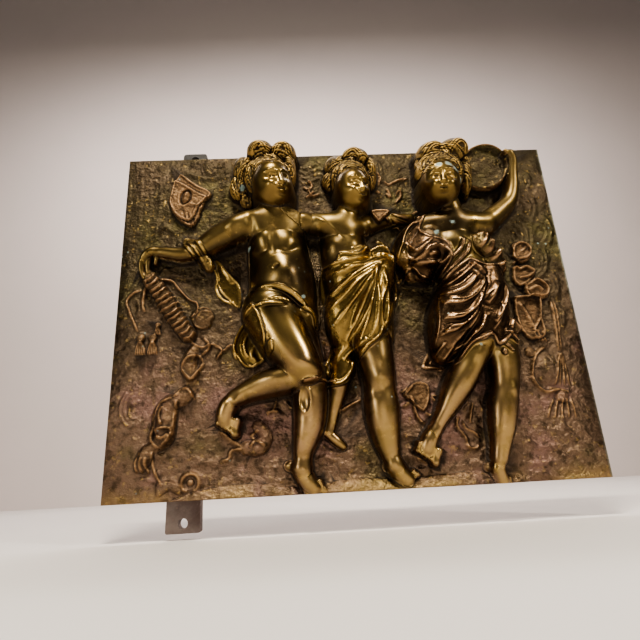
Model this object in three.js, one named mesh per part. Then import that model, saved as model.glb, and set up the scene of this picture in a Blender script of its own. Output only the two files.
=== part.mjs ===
// A cast brass relief plaque of three dancing children, with the bar that holds it on a wall.
// Millimetres. x to the right, z up, and the picture side looks along -y. The wall is y = 0.
// The picture itself is a height surface: u runs right and v runs up from the plate's lower left
// corner, and every shape on it says how far it rises above the face of the plate.
import * as THREE from "three";

// plate
const plateWidth = 340;
const plateHeight = 264;
const plateThickness = 5;

// bar behind the plate
const barWidthLow = 22.5;
const barWidthHigh = 19.5;
const barThickness = 8;
const barU = 52;
const barLow = -20;
const barHigh = 273;
const screwHole = 6.6;
const holeFromEnd = 6;

// surface
const cells = 256;
const frontTriangles = 9300;
const draft = 4.5;
const blend = 3;

// where the bar's middle comes to rest: the origin of the whole part
const originU = barU;
const originV = (barLow + barHigh) / 2;
const backY = -barThickness;
const faceY = backY - plateThickness;

const rad = Math.PI / 180;
const clamp = (value, low, high) => Math.min(high, Math.max(low, value));
const mix = (a, b, t) => a + (b - a) * t;
const bell = (t) => Math.exp(-t * t);

// rounded maximum, so that masses run into each other without a crease
function meet(a, b, soft) {
  const gap = Math.max(0, 1 - Math.abs(a - b) / soft);
  return Math.max(a, b) + (soft * gap * gap) / 4;
}

// value on a smooth curve between b and c, with the neighbours a and d giving the direction
function between(a, b, c, d, t) {
  const bend = (2 * a - 5 * b + 4 * c - d) * t ** 2;
  const twist = (3 * b - a - 3 * c + d) * t ** 3;
  return 0.5 * (2 * b + (c - a) * t + bend + twist);
}

// joints joined by a smooth line that carries their height and radius too
function smooth(joints) {
  if (joints.length < 3) return joints;
  const at = (n) => joints[clamp(n, 0, joints.length - 1)];
  const points = [];
  for (let n = 0; n + 1 < joints.length; n++) {
    const steps = Math.ceil(Math.hypot(at(n + 1)[0] - at(n)[0], at(n + 1)[1] - at(n)[1]) / 3);
    for (let k = 0; k < steps; k++) {
      points.push(at(n).map((own, part) => (
        between(at(n - 1)[part], own, at(n + 1)[part], at(n + 2)[part], k / steps))));
    }
  }
  return [...points, at(joints.length - 1)];
}

// The height surface and the ways of adding to it.
class Relief {
  constructor() {
    this.side = cells + 1;
    this.heights = new Float32Array(this.side * this.side);
  }

  // runs change(height, u, v) over the nodes of a box
  over(u0, v0, u1, v1, change) {
    const stepU = plateWidth / cells;
    const stepV = plateHeight / cells;
    const i0 = clamp(Math.ceil(u0 / stepU), 0, cells);
    const i1 = clamp(Math.floor(u1 / stepU), 0, cells);
    const j0 = clamp(Math.ceil(v0 / stepV), 0, cells);
    const j1 = clamp(Math.floor(v1 / stepV), 0, cells);
    for (let j = j0; j <= j1; j++) {
      for (let i = i0; i <= i1; i++) {
        const at = j * this.side + i;
        this.heights[at] = change(this.heights[at], i * stepU, j * stepV);
      }
    }
  }

  // a limb: joints of [u, v, height of the axis, radius] inside one smooth, tapering round form;
  // flat below 1 makes the form shallower than it is wide
  limb(joints, soft = blend, flat = 1) {
    const points = smooth(joints);
    const reach = Math.max(...points.map((point) => point[3])) + 10;
    const box = new THREE.Box2()
      .setFromPoints(points.map(([u, v]) => new THREE.Vector2(u, v)))
      .expandByScalar(reach);
    this.over(box.min.x, box.min.y, box.max.x, box.max.y, (height, u, v) => {
      let top = -Infinity;
      for (let n = 1; n < points.length; n++) {
        const [ua, va, ha, ra] = points[n - 1];
        const [ub, vb, hb, rb] = points[n];
        const size = (ub - ua) ** 2 + (vb - va) ** 2 || 1;
        const t = clamp(((u - ua) * (ub - ua) + (v - va) * (vb - va)) / size, 0, 1);
        const away = Math.hypot(u - mix(ua, ub, t), v - mix(va, vb, t));
        top = Math.max(top, dome(away, mix(ra, rb, t), mix(ha, hb, t), flat));
      }
      return meet(height, top, soft);
    });
  }

  // an egg shaped mass: middle, half sizes, lean in degrees
  mass([u0, v0, h0], [halfU, halfV, halfH], lean = 0, soft = blend) {
    const reach = Math.max(halfU, halfV) + 10;
    const wide = Math.sqrt(halfU * halfV);
    this.over(u0 - reach, v0 - reach, u0 + reach, v0 + reach, (height, u, v) => {
      const away = span(u - u0, v - v0, halfU, halfV, lean);
      const top = away < 1
        ? h0 + halfH * Math.sqrt(1 - away * away)
        : h0 - (away - 1) * wide * draft;
      return meet(height, top, soft);
    });
  }

  // a soft swelling laid over what is there, or a dent where the rise is negative
  swell([u0, v0], [sizeU, sizeV], rise, lean = 0) {
    const reach = 2.6 * Math.max(sizeU, sizeV);
    this.over(u0 - reach, v0 - reach, u0 + reach, v0 + reach, (height, u, v) => (
      height + rise * bell(span(u - u0, v - v0, sizeU, sizeV, lean))));
  }

  // a soft ridge (or, with a negative rise, a furrow) along a curve, thinner towards its ends
  ridge(curve, width, rise, taper = 0.35) {
    const points = curve.getPoints(Math.max(6, Math.ceil(curve.getLength() / 2.5)));
    const reach = width * 2;
    const box = new THREE.Box2().setFromPoints(points).expandByScalar(reach);
    this.over(box.min.x, box.min.y, box.max.x, box.max.y, (height, u, v) => {
      const [away, where] = nearest(points, u, v);
      if (away > reach) return height;
      const ends = taper ? Math.min(1, where / taper, (1 - where) / taper) : 1;
      return height + rise * Math.sqrt(Math.max(0, ends)) * bell(away / (width * 0.6));
    });
  }
}

// height of a round form's surface at a distance from its axis, with drafted sides
function dome(away, radius, axis, flat) {
  if (away < radius) return axis + flat * Math.sqrt(radius * radius - away * away);
  return axis - (away - radius) * draft;
}

// how far out a place lies in a leaning oval, where 1 is its rim
function span(du, dv, sizeU, sizeV, lean) {
  const c = Math.cos(lean * rad);
  const s = Math.sin(lean * rad);
  return Math.hypot((du * c + dv * s) / sizeU, (dv * c - du * s) / sizeV);
}

// distance from a place to a line of points, and how far along the line that is, from 0 to 1
function nearest(points, u, v) {
  let least = Infinity;
  let where = 0;
  for (let n = 1; n < points.length; n++) {
    const a = points[n - 1];
    const b = points[n];
    const size = (b.x - a.x) ** 2 + (b.y - a.y) ** 2 || 1;
    const t = clamp(((u - a.x) * (b.x - a.x) + (v - a.y) * (b.y - a.y)) / size, 0, 1);
    const away = Math.hypot(u - mix(a.x, b.x, t), v - mix(a.y, b.y, t));
    if (away < least) {
      least = away;
      where = (n - 1 + t) / (points.length - 1);
    }
  }
  return [least, where];
}

// a smooth curve through a few [u, v] points
function path(...points) {
  return new THREE.SplineCurve(points.map(([u, v]) => new THREE.Vector2(u, v)));
}

// an arc of a circle or oval, angles in degrees
function arc(u, v, radiusU, radiusV, from, to, turn = 0) {
  return new THREE.EllipseCurve(
    u, v, radiusU, radiusV, from * rad, to * rad, to < from, turn * rad);
}

// cloth laid over what is there, inside an outline, with a rounded hem
function drape(relief, outline, thick, hem) {
  const line = path(...outline, outline[0]).getPoints(outline.length * 4);
  const box = new THREE.Box2().setFromPoints(line);
  relief.over(box.min.x, box.min.y, box.max.x, box.max.y, (height, u, v) => {
    const inside = line.filter((b, n) => {
      const a = line[n - 1] || b;
      return (a.y > v) !== (b.y > v) && u < ((b.x - a.x) * (v - a.y)) / (b.y - a.y) + a.x;
    });
    if (inside.length % 2 === 0) return height;
    const [deep] = nearest(line, u, v);
    const edge = 1 - clamp(deep / hem, 0, 1);
    return height + thick * Math.sqrt(1 - edge * edge) + 0.9 * bell((deep - 1.3) / 1.1);
  });
}

// several folds of cloth, each a line of places
function folds(relief, lines, width, rise) {
  lines.forEach((line, n) => {
    relief.ridge(path(...line), width * (0.95 + 0.25 * (n % 2)), rise * (0.9 + 0.2 * Math.cos(n * 1.9)), 0.3);
  });
}

// folds that run from gathered points a to a row of tips b, bowed sideways by sag
function fan(relief, [fromA, fromB], [toA, toB], count, width, rise, sag) {
  for (let n = 0; n < count; n++) {
    const t = n / (count - 1);
    const u = mix(fromA[0], fromB[0], t);
    const v = mix(fromA[1], fromB[1], t);
    const tu = mix(toA[0], toB[0], t);
    const tv = mix(toA[1], toB[1], t);
    const bow = sag * (0.7 + 0.3 * Math.cos(n * 2.1));
    relief.ridge(path([u, v], [(u + tu) / 2 + bow, (v + tv) / 2 - bow], [tu, tv]),
      width * (0.85 + 0.3 * (n % 2)), rise * (0.9 + 0.2 * Math.cos(n * 1.7)), 0.25);
  }
}

// A calm child's face laid on an egg shaped head: turn is how far it looks right, lean how far
// the head tips over. Places on the head are given as [sideways, up] angles from its middle.
function face(relief, [u, v, h], [halfU, halfV, halfH], turn, lean) {
  const scale = halfU / 15;
  const c = Math.cos(lean * rad);
  const s = Math.sin(lean * rad);
  const spot = (sideways, up, out = 1) => {
    const a = (sideways + turn) * rad;
    const b = up * rad;
    const du = halfU * out * Math.sin(a) * Math.cos(b);
    const dv = halfV * out * Math.sin(b);
    return [u + du * c - dv * s, v + du * s + dv * c, h + halfH * out * Math.cos(a) * Math.cos(b)];
  };
  const swell = ([atU, atV], sizeU, sizeV, rise) => {
    relief.swell([atU, atV], [sizeU * scale, sizeV * scale], rise * scale, lean);
  };
  const bow = ([atU, atV], drop, sizeU, sizeV, from, to, width, rise) => {
    relief.ridge(arc(atU, atV - drop * scale, sizeU * scale, sizeV * scale, from, to, lean),
      width * scale, rise * scale, 0.3);
  };
  relief.mass([u, v, h], [halfU, halfV, halfH], lean, 2);
  swell(spot(0, 34), 9, 6, 1.2);
  for (const side of [-1, 1]) {
    const narrow = Math.max(0.4, Math.cos((side * 22 + turn) * rad));
    swell(spot(side * 31, -24), 5 * narrow, 4.8, 2.4);
    const eye = spot(side * 23, -2);
    swell(eye, 4.6 * narrow, 3, -3.4);
    swell(eye, 2.4 * narrow, 1.8, 1.6);
    bow(spot(side * 23, 13), 2.4, 4.8 * narrow, 2.6, 155, 25, 2.2, 1.1);
  }
  const bridge = spot(0, 6);
  const tip = spot(0, -18, 1.1);
  relief.limb([
    [bridge[0], bridge[1], bridge[2] - 2.2 * scale, 1.9 * scale],
    [tip[0], tip[1], tip[2] - 1.4 * scale, 2.5 * scale],
  ], 1.8);
  const mouth = spot(0, -35);
  swell(mouth, 5.2, 3.4, 1.4);
  bow(mouth, 0, 3.3, 1.6, 160, 20, 1.8, 1.3);
  bow(mouth, -1.2, 3.6, 1.5, 200, 340, 1.4, -1.6);
  bow(mouth, -0.7, 2.8, 3, 210, 330, 2, 1.4);
  swell(spot(0, -60), 4.4, 3, 1.9);
}

// a row of toes from the big one on, pointing along way
function toes(relief, [ua, va], [ub, vb], height, size, [wayU, wayV], count = 5) {
  for (let n = 0; n < count; n++) {
    const t = n / (count - 1);
    const wide = size * (n ? 0.95 - 0.05 * n : 1.25);
    const u = mix(ua, ub, t);
    const v = mix(va, vb, t);
    relief.limb([
      [u - wayU * size * 1.4, v - wayV * size * 1.4, height - wide * 0.5, wide * 0.85],
      [u + wayU * wide, v + wayV * wide, height - wide, wide],
    ], 0.8);
  }
}

// a ribbon falling in flat flaps that turn over at every corner
function ribbon(relief, corners, width, rise) {
  for (let n = 1; n < corners.length; n++) {
    const [ua, va] = corners[n - 1];
    const [ub, vb] = corners[n];
    const length = Math.hypot(ub - ua, vb - va);
    const tilt = n % 2 ? 1 : -1;
    relief.over(Math.min(ua, ub) - width, Math.min(va, vb) - width,
      Math.max(ua, ub) + width, Math.max(va, vb) + width, (height, u, v) => {
        const along = ((u - ua) * (ub - ua) + (v - va) * (vb - va)) / length;
        const across = ((u - ua) * (vb - va) - (v - va) * (ub - ua)) / length;
        if (along < -1 || along > length + 1 || Math.abs(across) > width / 2) return height;
        return Math.max(height, rise * (0.72 + 0.56 * tilt * (across / width)));
      });
  }
}

// a hanging tassel: a knot with strands below it
function tassel(relief, u, v, size) {
  relief.mass([u, v, 0.5], [size * 0.45, size * 0.4, 3], 0, 1.5);
  for (const lean of [-0.34, 0, 0.34]) {
    relief.ridge(path([u, v], [u + lean * size * 0.6, v - size * 0.7], [u + lean * size, v - size * 1.4]),
      size * 0.22, 2, 0.2);
  }
}

// a bough of foliage, as nested lobes
function leaves(relief, u, v, size, count) {
  for (let n = 0; n < count; n++) {
    const t = (n + 1) / count;
    relief.ridge(arc(u, v, size * t, 1.35 * size * t, -62, 88, -8 * n), 2 + 1.2 * t, 0.8 + 0.7 * t, 0.3);
  }
}

// the rocky ground, the tree and the light foliage worked into the plate
function landscape(relief) {
  for (let n = 0; n < 12; n++) {
    const u = 18 + 24 * n;
    const v = 9 + 9 * (1 + Math.sin(n * 2.4));
    relief.ridge(path([u, v], [u + 12, v + 3], [u + 26, v - 2]), 4, 1.3);
  }
  relief.mass([170, -7, 0], [46, 15, 7], 0, 3);
  relief.mass([92, -9, 0], [56, 17, 5], 0, 3);
  relief.mass([236, -10, 0], [56, 18, 5], 0, 3);
  for (let n = 0; n < 4; n++) {
    relief.ridge(path([7 + 6 * n, 260], [9 + 5.4 * n, 228], [7 + 5 * n, 194]), 3, 1.2, 0.2);
  }
  relief.ridge(path([32, 244.5], [30.5, 226], [35, 212], [28, 197.5], [21, 188]), 5, 1.4, 0.2);
  relief.ridge(path([42, 193.5], [32, 200.5], [28.5, 194]), 4, 1.2, 0.2);
  leaves(relief, 303.5, 181.5, 15, 4);
  leaves(relief, 315, 208.5, 11, 3);
  leaves(relief, 324, 186, 11, 3);
  leaves(relief, 314, 160.5, 12, 4);
  leaves(relief, 322, 140, 9, 3);
  leaves(relief, 328.5, 219, 8, 3);
  leaves(relief, 322, 114, 8, 3);
  relief.mass([66.5, 256.5, -0.5], [7, 6.5, 2.4], 0, 2);
  relief.ridge(path([61.5, 254.5], [67, 249], [73, 254.5], [73.5, 261]), 3.4, 1.6, 0.2);
  relief.ridge(path([45.5, 251.5], [57.5, 246.5], [69.5, 245], [77.5, 252]), 3, 1.3, 0.2);
  relief.ridge(path([75, 262], [77, 242.5], [75.5, 219.5]), 4, 1.2, 0.2);
  for (let n = 0; n < 3; n++) {
    relief.ridge(path([136, 255 - 5 * n], [143, 252 - 6 * n], [154, 256 - 6 * n], [160, 254 - 7 * n]),
      2.4, 1.1);
    relief.ridge(arc(18, 62, 4 + 3 * n, 8 + 2.4 * n, 60, 300), 2.2, 1.4);
  }
}

// the wing behind the left child: a broad leaf of feathers with an eye in it
function wing(relief) {
  drape(relief, [[42, 249.5], [49.5, 243], [57, 237], [65, 233], [67.5, 228], [63, 222], [60, 214],
    [57, 205], [52, 200], [43, 205.5], [36.5, 214], [34, 223], [36, 232], [37.5, 241.5]], 3.4, 4);
  drape(relief, [[37, 243], [46, 238], [58, 229.5], [64.5, 225.5], [58.5, 217.5], [52.5, 205],
    [43, 207.5], [36.5, 216.5], [34.5, 225.5]], 1.4, 2.4);
  relief.ridge(path([43, 247.5], [51.5, 241], [64.5, 234]), 2.6, 1.4, 0.2);
  relief.ridge(arc(47.6, 225.7, 3.6, 6.2, 0, 360, -14), 2, -1.9, 0);
  relief.swell([47.5, 225.5], [2, 4], 1, -14);
}

// the pleated garland that hangs from the left child's hand, with its tassels and ribbon ends
function garland(relief) {
  const spine = path([22.7, 158], [31, 147], [37, 136.5], [43.5, 126], [54, 111]);
  relief.limb(spine.getPoints(12).map((point) => [point.x, point.y, -1.2, 6.4]), 2);
  for (let n = 0; n < 13; n++) {
    const at = spine.getPointAt(n / 12);
    const way = spine.getTangentAt(n / 12);
    const across = new THREE.Vector2(-way.y, way.x).multiplyScalar(5 + 3 * Math.sin((n * Math.PI) / 12));
    relief.ridge(path([at.x - across.x, at.y - across.y], [at.x + way.x * 2.6, at.y + way.y * 2.6],
      [at.x + across.x, at.y + across.y]), 1.9, 2.5, 0.15);
  }
  relief.ridge(path([28, 157.5], [39, 155.5], [45.5, 148], [53, 139.5], [58.5, 137], [59, 129.5]),
    2, 2.4, 0.1);
  relief.mass([63, 125, -1], [8, 9, 5], 0, 2);
  relief.ridge(arc(63, 125, 8, 8, 20, 300), 2, 1.4, 0.2);
  folds(relief, [
    [[51, 110.5], [61.5, 103.5], [71.5, 106]],
    [[64, 110.5], [68.5, 103], [61.5, 96]],
    [[70, 106], [77, 100.5], [73, 93]],
    [[77, 99], [84, 103.5], [87, 92.5]],
  ], 2.2, 2.4);
  tassel(relief, 19, 112, 8);
  tassel(relief, 27.5, 111.5, 8);
  tassel(relief, 30.5, 121.5, 5);
  relief.ridge(path([21.5, 154.5], [19.5, 147.5], [19, 138], [20.5, 131.5]), 2.6, 2.4, 0.1);
  relief.ridge(path([17.5, 149.5], [11, 146.5], [7, 140], [9.7, 132], [13, 124.5], [16.5, 116.5]),
    2, 2.2, 0.1);
  relief.ridge(path([28.5, 157.5], [33.5, 165], [41, 166], [38.5, 171.5]), 2.4, 1.4, 0.2);
  ribbon(relief, [[51.5, 100], [42, 93], [48, 82], [35.5, 77], [29.5, 65.5], [37.5, 55.5], [29, 48],
    [23.5, 40], [21, 26]], 9, 5);
  relief.ridge(path([75.5, 44], [82, 39], [87.5, 35], [92, 31]), 3.6, 2.6, 0.1);
  relief.ridge(path([76, 24], [82, 25], [84.5, 30.5], [94, 30]), 2.6, 2.4, 0.1);
  ribbon(relief, [[94, 31], [104.5, 29.5], [109, 38], [102, 46]], 9, 3.6);
  relief.ridge(path([108, 54], [112.5, 55], [116.5, 55]), 2.6, 2.4, 0.2);
  relief.ridge(arc(57, 11, 5.6, 5.6, -80, 270), 2.6, 2.4, 0.2);
  relief.mass([57, 11, -0.6], [2.4, 2.4, 2.6], 0, 1);
  for (let n = 0; n < 4; n++) {
    relief.ridge(path([51, 4.5 + 1.5 * n], [43, 7.5 + 1.5 * n], [35, 3 + 2.2 * n]), 2, 1.7, 0.25);
  }
}

// the ribbons, tassels and cloth ends beyond the right child
function streamers(relief) {
  relief.ridge(path([300, 168], [302, 174], [308, 176.5], [311.5, 174], [313, 167], [310, 162.5],
    [302.5, 161], [299.5, 157]), 2, 2.6, 0.1);
  relief.mass([305, 168.5, -0.5], [6, 6, 3], 0, 1);
  relief.ridge(path([299.5, 157], [302, 153.5], [308.5, 155], [313.5, 150.5], [308, 146.5],
    [301.5, 146]), 2, 2.8, 0.1);
  relief.mass([306.5, 150.5, -0.5], [6, 4, 3.4], 0, 1);
  relief.ridge(path([311.5, 145.5], [318, 142], [321.5, 136], [319, 131.5], [314, 131]), 2, 2.8, 0.1);
  relief.mass([313.5, 137, -0.5], [7, 6, 3], 0, 1);
  drape(relief, [[294, 131.5], [305, 132], [312.5, 131], [314.5, 125], [312, 114], [312.5, 100],
    [301.5, 97.5], [295.5, 105.5], [293.5, 119.5]], 3.4, 2);
  relief.ridge(path([295, 131], [305, 131], [311, 130], [313, 126], [311.5, 114], [312, 101.5],
    [314.5, 98.5]), 2.2, 2.8, 0.1);
  relief.ridge(path([311, 115.5], [308.5, 109.5], [305, 104.5], [308.5, 104]), 2, 2, 0.1);
  relief.ridge(path([300, 126], [304.5, 116], [306, 106.5]), 2.6, -1.4, 0.2);
  relief.mass([299.5, 88.5, -0.5], [4, 4, 3], 0, 1);
  relief.mass([309, 76, -2], [11, 13, 6], 10, 2);
  relief.ridge(path([312.5, 92.5], [304, 87], [299, 78], [298.5, 68], [305, 60],
    [316, 60.5]), 2.4, 2.6, 0.1);
  relief.ridge(path([322.5, 128], [322.5, 108], [321, 87.5]), 2, 1.8, 0.1);
  relief.ridge(path([325, 128], [324.5, 108], [323, 87.5]), 2, 1.2, 0.1);
  relief.ridge(path([307.5, 62], [316, 60.5], [322.5, 58]), 2.4, 1.6, 0.1);
  relief.mass([316.5, 55.5, -0.4], [5, 4.6, 3.2], 0, 1);
  relief.ridge(path([313.5, 43], [314, 35], [318, 30.5]), 2.6, 1.6, 0.2);
}

// the cloth ends and loops between the middle and the right child
function middleStreamers(relief) {
  relief.ridge(path([202, 63.5], [208, 66.5], [211.5, 68]), 2.2, 2, 0.2);
  relief.ridge(path([223.5, 60], [226.5, 56], [229.5, 53.5], [230.5, 59], [223.5, 60]), 2, 2.4, 0.1);
  relief.ridge(path([210, 59.5], [211, 51], [213.5, 44], [217.5, 41]), 2.4, 2.2, 0.2);
  relief.ridge(path([218, 49.5], [222, 47], [224, 49.5]), 2, 2, 0.2);
  relief.ridge(path([202, 53.5], [206.5, 56], [210, 61]), 2.6, 1.8, 0.2);
  drape(relief, [[203, 62], [212.5, 70.5], [222.5, 69], [222.5, 59], [217, 49.5],
    [209.5, 55.5]], 1.6, 2);
  relief.ridge(path([205.5, 27], [207, 22.5], [211.5, 18], [217.5, 14.5]), 2.4, 2.4, 0.1);
  relief.ridge(path([252.5, 54.5], [250, 48], [248.5, 42.5], [249.5, 40]), 2, 2.4, 0.1);
  relief.ridge(path([241.5, 46], [239, 39.5], [241.5, 34.5], [244, 30.5], [244.5, 25], [248.5, 23.5],
    [253, 25.5]), 2.2, 2.2, 0.1);
  relief.ridge(path([243, 42.5], [245, 37], [250, 34], [253.5, 30]), 2, 1.8, 0.2);
  relief.ridge(path([256.5, 54.5], [259.5, 45], [260.5, 35], [258, 24.5]), 2.4, 1.4, 0.2);
  relief.ridge(path([247, 60], [249, 54], [245, 48]), 2.2, 1.6, 0.2);
}

// the stick, loops and leaves beside the middle child, and the knots between the heads
function backgroundKnots(relief) {
  relief.ridge(path([154.5, 49.5], [159, 53], [166, 56.5], [174.5, 60.5]), 2.2, 2.8, 0.1);
  relief.ridge(path([147, 109], [152.5, 111], [157.5, 107], [157.5, 102], [153, 99],
    [149, 102.5]), 2, 2.6, 0.1);
  relief.ridge(path([150.5, 106], [154, 103.5], [152.5, 100]), 2, 1.8, 0.2);
  relief.ridge(path([159.5, 95], [161, 89], [165, 83]), 2.4, 1.6, 0.2);
  folds(relief, [
    [[141, 234.5], [144.5, 231], [147.5, 225], [154, 227.5]],
    [[142, 223.5], [147, 227], [148.5, 230.5]],
    [[207, 238], [210, 234], [218.5, 237.5], [227, 239]],
    [[207.5, 226.5], [210.5, 222], [208, 230.5]],
    [[214.5, 222.5], [218.5, 228], [219.5, 222.5], [214, 216]],
    [[229, 237], [233, 232.5], [238.5, 231]],
  ], 2.2, 1.7);
}

// left child: standing leg
function leftStandingLeg(relief) {
  relief.limb([[132, 101, 4, 15], [137, 79.5, 6, 12.5], [138.5, 64.5, 6, 12], [138, 49.5, 6, 11],
    [136, 40, 6, 9.6], [133.5, 30.5, 6, 7.2], [132, 24, 5, 6.2], [132, 16.5, 5, 6.4]], 4);
  relief.swell([138.5, 67], [6, 4], 0.9);
  relief.mass([124, 18, 1.2], [4.8, 4, 4.4], 0, 4);
  relief.limb([[130, 16.5, 4, 6.4], [134, 8.8, 4, 6.2], [138.5, 3.7, 3.4, 5.2]], 3);
  toes(relief, [143.5, 4.6], [133, 1.5], 6, 2.1, [0.5, -0.9]);
}

// left child: body
function leftBody(relief) {
  relief.limb([[116.5, 192, 6, 20], [117.5, 174.5, 7, 21.5], [118.5, 156, 8, 22.5],
    [120.5, 137.5, 7, 24], [123, 117.5, 5, 25]], 9, 0.7);
  relief.limb([[90.5, 191.5, 9, 11.4], [103, 195, 10, 12], [119, 196, 9, 12], [137, 194, 8, 9.6]], 12);
  relief.swell([107, 181], [11, 9], 2.2);
  relief.swell([126.5, 178.5], [10, 9], 2);
  relief.swell([122.5, 154], [15, 15], 5);
  relief.swell([108.5, 133], [12, 8], 1.6);
  relief.swell([133.5, 135], [9, 8], 1.8);
  relief.swell([101.5, 198], [9, 5], 1.2);
  relief.swell([101.5, 163.5], [7, 9], -1.6);
  relief.swell([138.5, 157], [5, 9], -1.2);
  relief.swell([118, 153.5], [1.7, 1.4], -2.4);
  relief.ridge(path([116, 187], [116.5, 175.5], [117, 163.5]), 5, -1.6, 0.4);
  relief.ridge(path([97, 132], [108.5, 136.5], [120.5, 134], [130.5, 127.5],
    [140.5, 120]), 2.6, -2.8, 0.1);
  relief.ridge(path([108.5, 126.5], [118, 129], [128.5, 127]), 2.8, 2.2, 0.3);
  relief.ridge(path([104.5, 139], [118, 138.5], [129, 133.5], [140, 124]), 3.4, 1.6, 0.2);
}

// left child: arm on the left
function leftArm(relief) {
  relief.limb([[98, 195.5, 8, 10], [91, 191.5, 10, 11], [82, 188, 10, 10.6], [72, 183.5, 9, 9.4],
    [63.5, 178.5, 8, 7.6], [56, 176, 7, 6.2], [47, 174.5, 6, 5.8], [36, 176.5, 5.5, 5],
    [26, 178.5, 5, 4]], 7);
  relief.swell([89.5, 193], [8, 6], 1.4, 20);
  relief.ridge(path([97.5, 201], [101, 186.5], [98.5, 177.5]), 5, -1.2, 0.4);
  relief.limb([[27.5, 178.5, 5, 3.8], [22.5, 177, 6, 4], [19, 173.5, 5.5, 3.2]], 2);
  relief.limb([[20.5, 176.5, 5, 2.8], [17, 170, 5, 2.4], [17, 162.5, 4, 2], [20, 156, 2.6, 1.7]], 0.8);
  relief.limb([[22.5, 176, 4, 2.5], [21.5, 168, 4, 2.2], [22, 161.5, 3, 1.8], [24, 157, 2, 1.5]], 0.8);
  relief.limb([[24.5, 178, 4, 2.5], [27.5, 173.5, 4, 2.1], [27, 169.5, 3, 1.7]], 0.8);
}

// left child: raised leg
function leftRaisedLeg(relief) {
  relief.limb([[112.5, 125.5, 8, 20], [119, 111.5, 12, 18], [126, 98, 15, 16], [133, 86, 17, 13],
    [136.5, 79.5, 15.5, 11.4]], 6);
  relief.limb([[136.5, 80, 14, 11.4], [128.5, 76.5, 13, 10.8], [117.5, 74.5, 11, 10],
    [106.5, 72, 9, 9], [95.5, 68.5, 8, 7.2], [87.5, 64.5, 7, 6]], 5);
  relief.swell([136, 81.5], [7, 6], 1.2);
  relief.swell([114, 75.5], [9, 5], 1, -12);
  relief.limb([[87, 64.5, 6, 6], [82.5, 59.5, 6, 6.4], [80.5, 53, 5, 6.6], [81, 48.5, 4, 5.6]], 4);
  relief.swell([88.5, 60.5], [3, 3], 1.4);
  toes(relief, [86.5, 46], [75, 54.5], 8, 2.5, [-0.5, -0.9]);
}

// left child: cloth hanging behind the thigh, with its curved edge
function leftThighCloth(relief) {
  drape(relief, [[100.5, 127.5], [94.5, 122.5], [89, 115], [85, 104.5], [87, 96], [94.5, 86],
    [106, 89.5], [110.5, 101], [106.5, 118]], 2.2, 3);
  relief.ridge(path([125.5, 124], [112, 124.5], [100.5, 122], [92, 115.5], [87.5, 107.5], [86, 99.5],
    [90, 91], [97, 85]), 2.2, 2.2, 0.1);
  folds(relief, [[[96.5, 113], [93, 102.5], [96, 93]], [[101.5, 104.5], [98.5, 96], [103, 88.5]],
    [[106, 98], [107, 92.5]], [[112.5, 99], [114.5, 94], [112, 90.5]]], 3, 2.4);
  relief.ridge(path([77, 89.5], [83, 84], [90, 81.5]), 3, 1.4, 0.3);
}

// left child: sash over the elbow
function leftSash(relief) {
  relief.limb([[50.5, 185.5, 4, 4], [59.5, 179, 7, 5], [64, 171.5, 5, 4.6], [67.5, 164.5, 3, 4]], 2);
  folds(relief, [[[45.5, 185], [53, 176.5], [58, 170.5], [63.5, 162]], [[56.5, 187], [61.5, 179],
    [65.5, 173], [68, 165.5]], [[52, 184], [59, 175], [64, 167.5]]], 2, 2);
  drape(relief, [[67, 169], [71.5, 158.5], [74.5, 146.5], [81, 138], [90, 131.5], [90, 149],
    [81, 161], [73.5, 170.5]], 2.4, 2.6);
  relief.ridge(path([67, 167], [72.5, 158.5], [73, 147], [76.5, 139.5], [84, 135],
    [88.5, 131]), 2, 2.4, 0.1);
  relief.ridge(path([69.5, 173], [78, 164], [85.5, 151]), 3, 1.2, 0.2);
}

// left child: garter
function leftGarter(relief) {
  relief.mass([135, 59.5, 9.5], [5.6, 10.5, 6], 0, 1.5);
  relief.ridge(arc(135, 59.3, 4, 8.4, 0, 360), 2, 1.2, 0);
  relief.swell([135, 59.5], [3, 6.6], -1.6);
  relief.ridge(path([132.5, 70.5], [139, 71.5], [147, 73], [157, 73]), 2.2, 2.2, 0.1);
}

// left child: cloth at the hip, between the first and second child
function leftHipCloth(relief) {
  relief.ridge(path([134, 123.5], [140.5, 123], [144.5, 118.5], [145.5, 110]), 2.6, 2.4, 0.1);
}

// left child: head
function leftHead(relief) {
  relief.limb([[113, 197, 11, 11], [114, 204, 13, 10], [116, 211, 14, 9.6]], 5);
  relief.mass([113.5, 235, 13], [18.5, 19, 14], 10, 2);
  relief.mass([108, 257, 16], [10.5, 9, 11], 0, 3);
  relief.mass([125.5, 255, 15], [10.5, 9, 10.5], 0, 3);
  relief.mass([95, 244.5, 9], [9, 12, 10], 10, 3);
  relief.mass([91, 231.5, 3.5], [8.5, 11, 9], -10, 3);
  relief.mass([96, 220.5, 2], [6, 6, 6.5], 0, 2);
  relief.mass([130.5, 242, 11], [5, 16, 11.5], 0, 3);
  face(relief, [117, 222.5, 21], [15, 19.5, 15], 24, 10);
  relief.ridge(path([114.5, 246.5], [108, 256], [101, 252.5], [97.5, 245.5]), 5, 1.8, 0.25);
  relief.ridge(path([116.5, 246.5], [122.5, 256.5], [128.5, 256.5], [131.5, 248.5]), 5, 1.8, 0.25);
  relief.ridge(path([104.5, 240.5], [98.5, 239], [97, 233.5], [91.5, 229.5]), 4.8, 1.7, 0.25);
  relief.ridge(path([92, 241], [86, 235], [84, 228.5], [88, 222.5], [94.5, 221]), 4.5, 1.6, 0.25);
  relief.ridge(path([118.5, 239.5], [124.5, 237.5], [129, 232.5]), 3.4, 1.2, 0.25);
  relief.ridge(path([111.5, 240], [106, 236], [103.5, 229.5]), 3.4, 1.2, 0.25);
}

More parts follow.
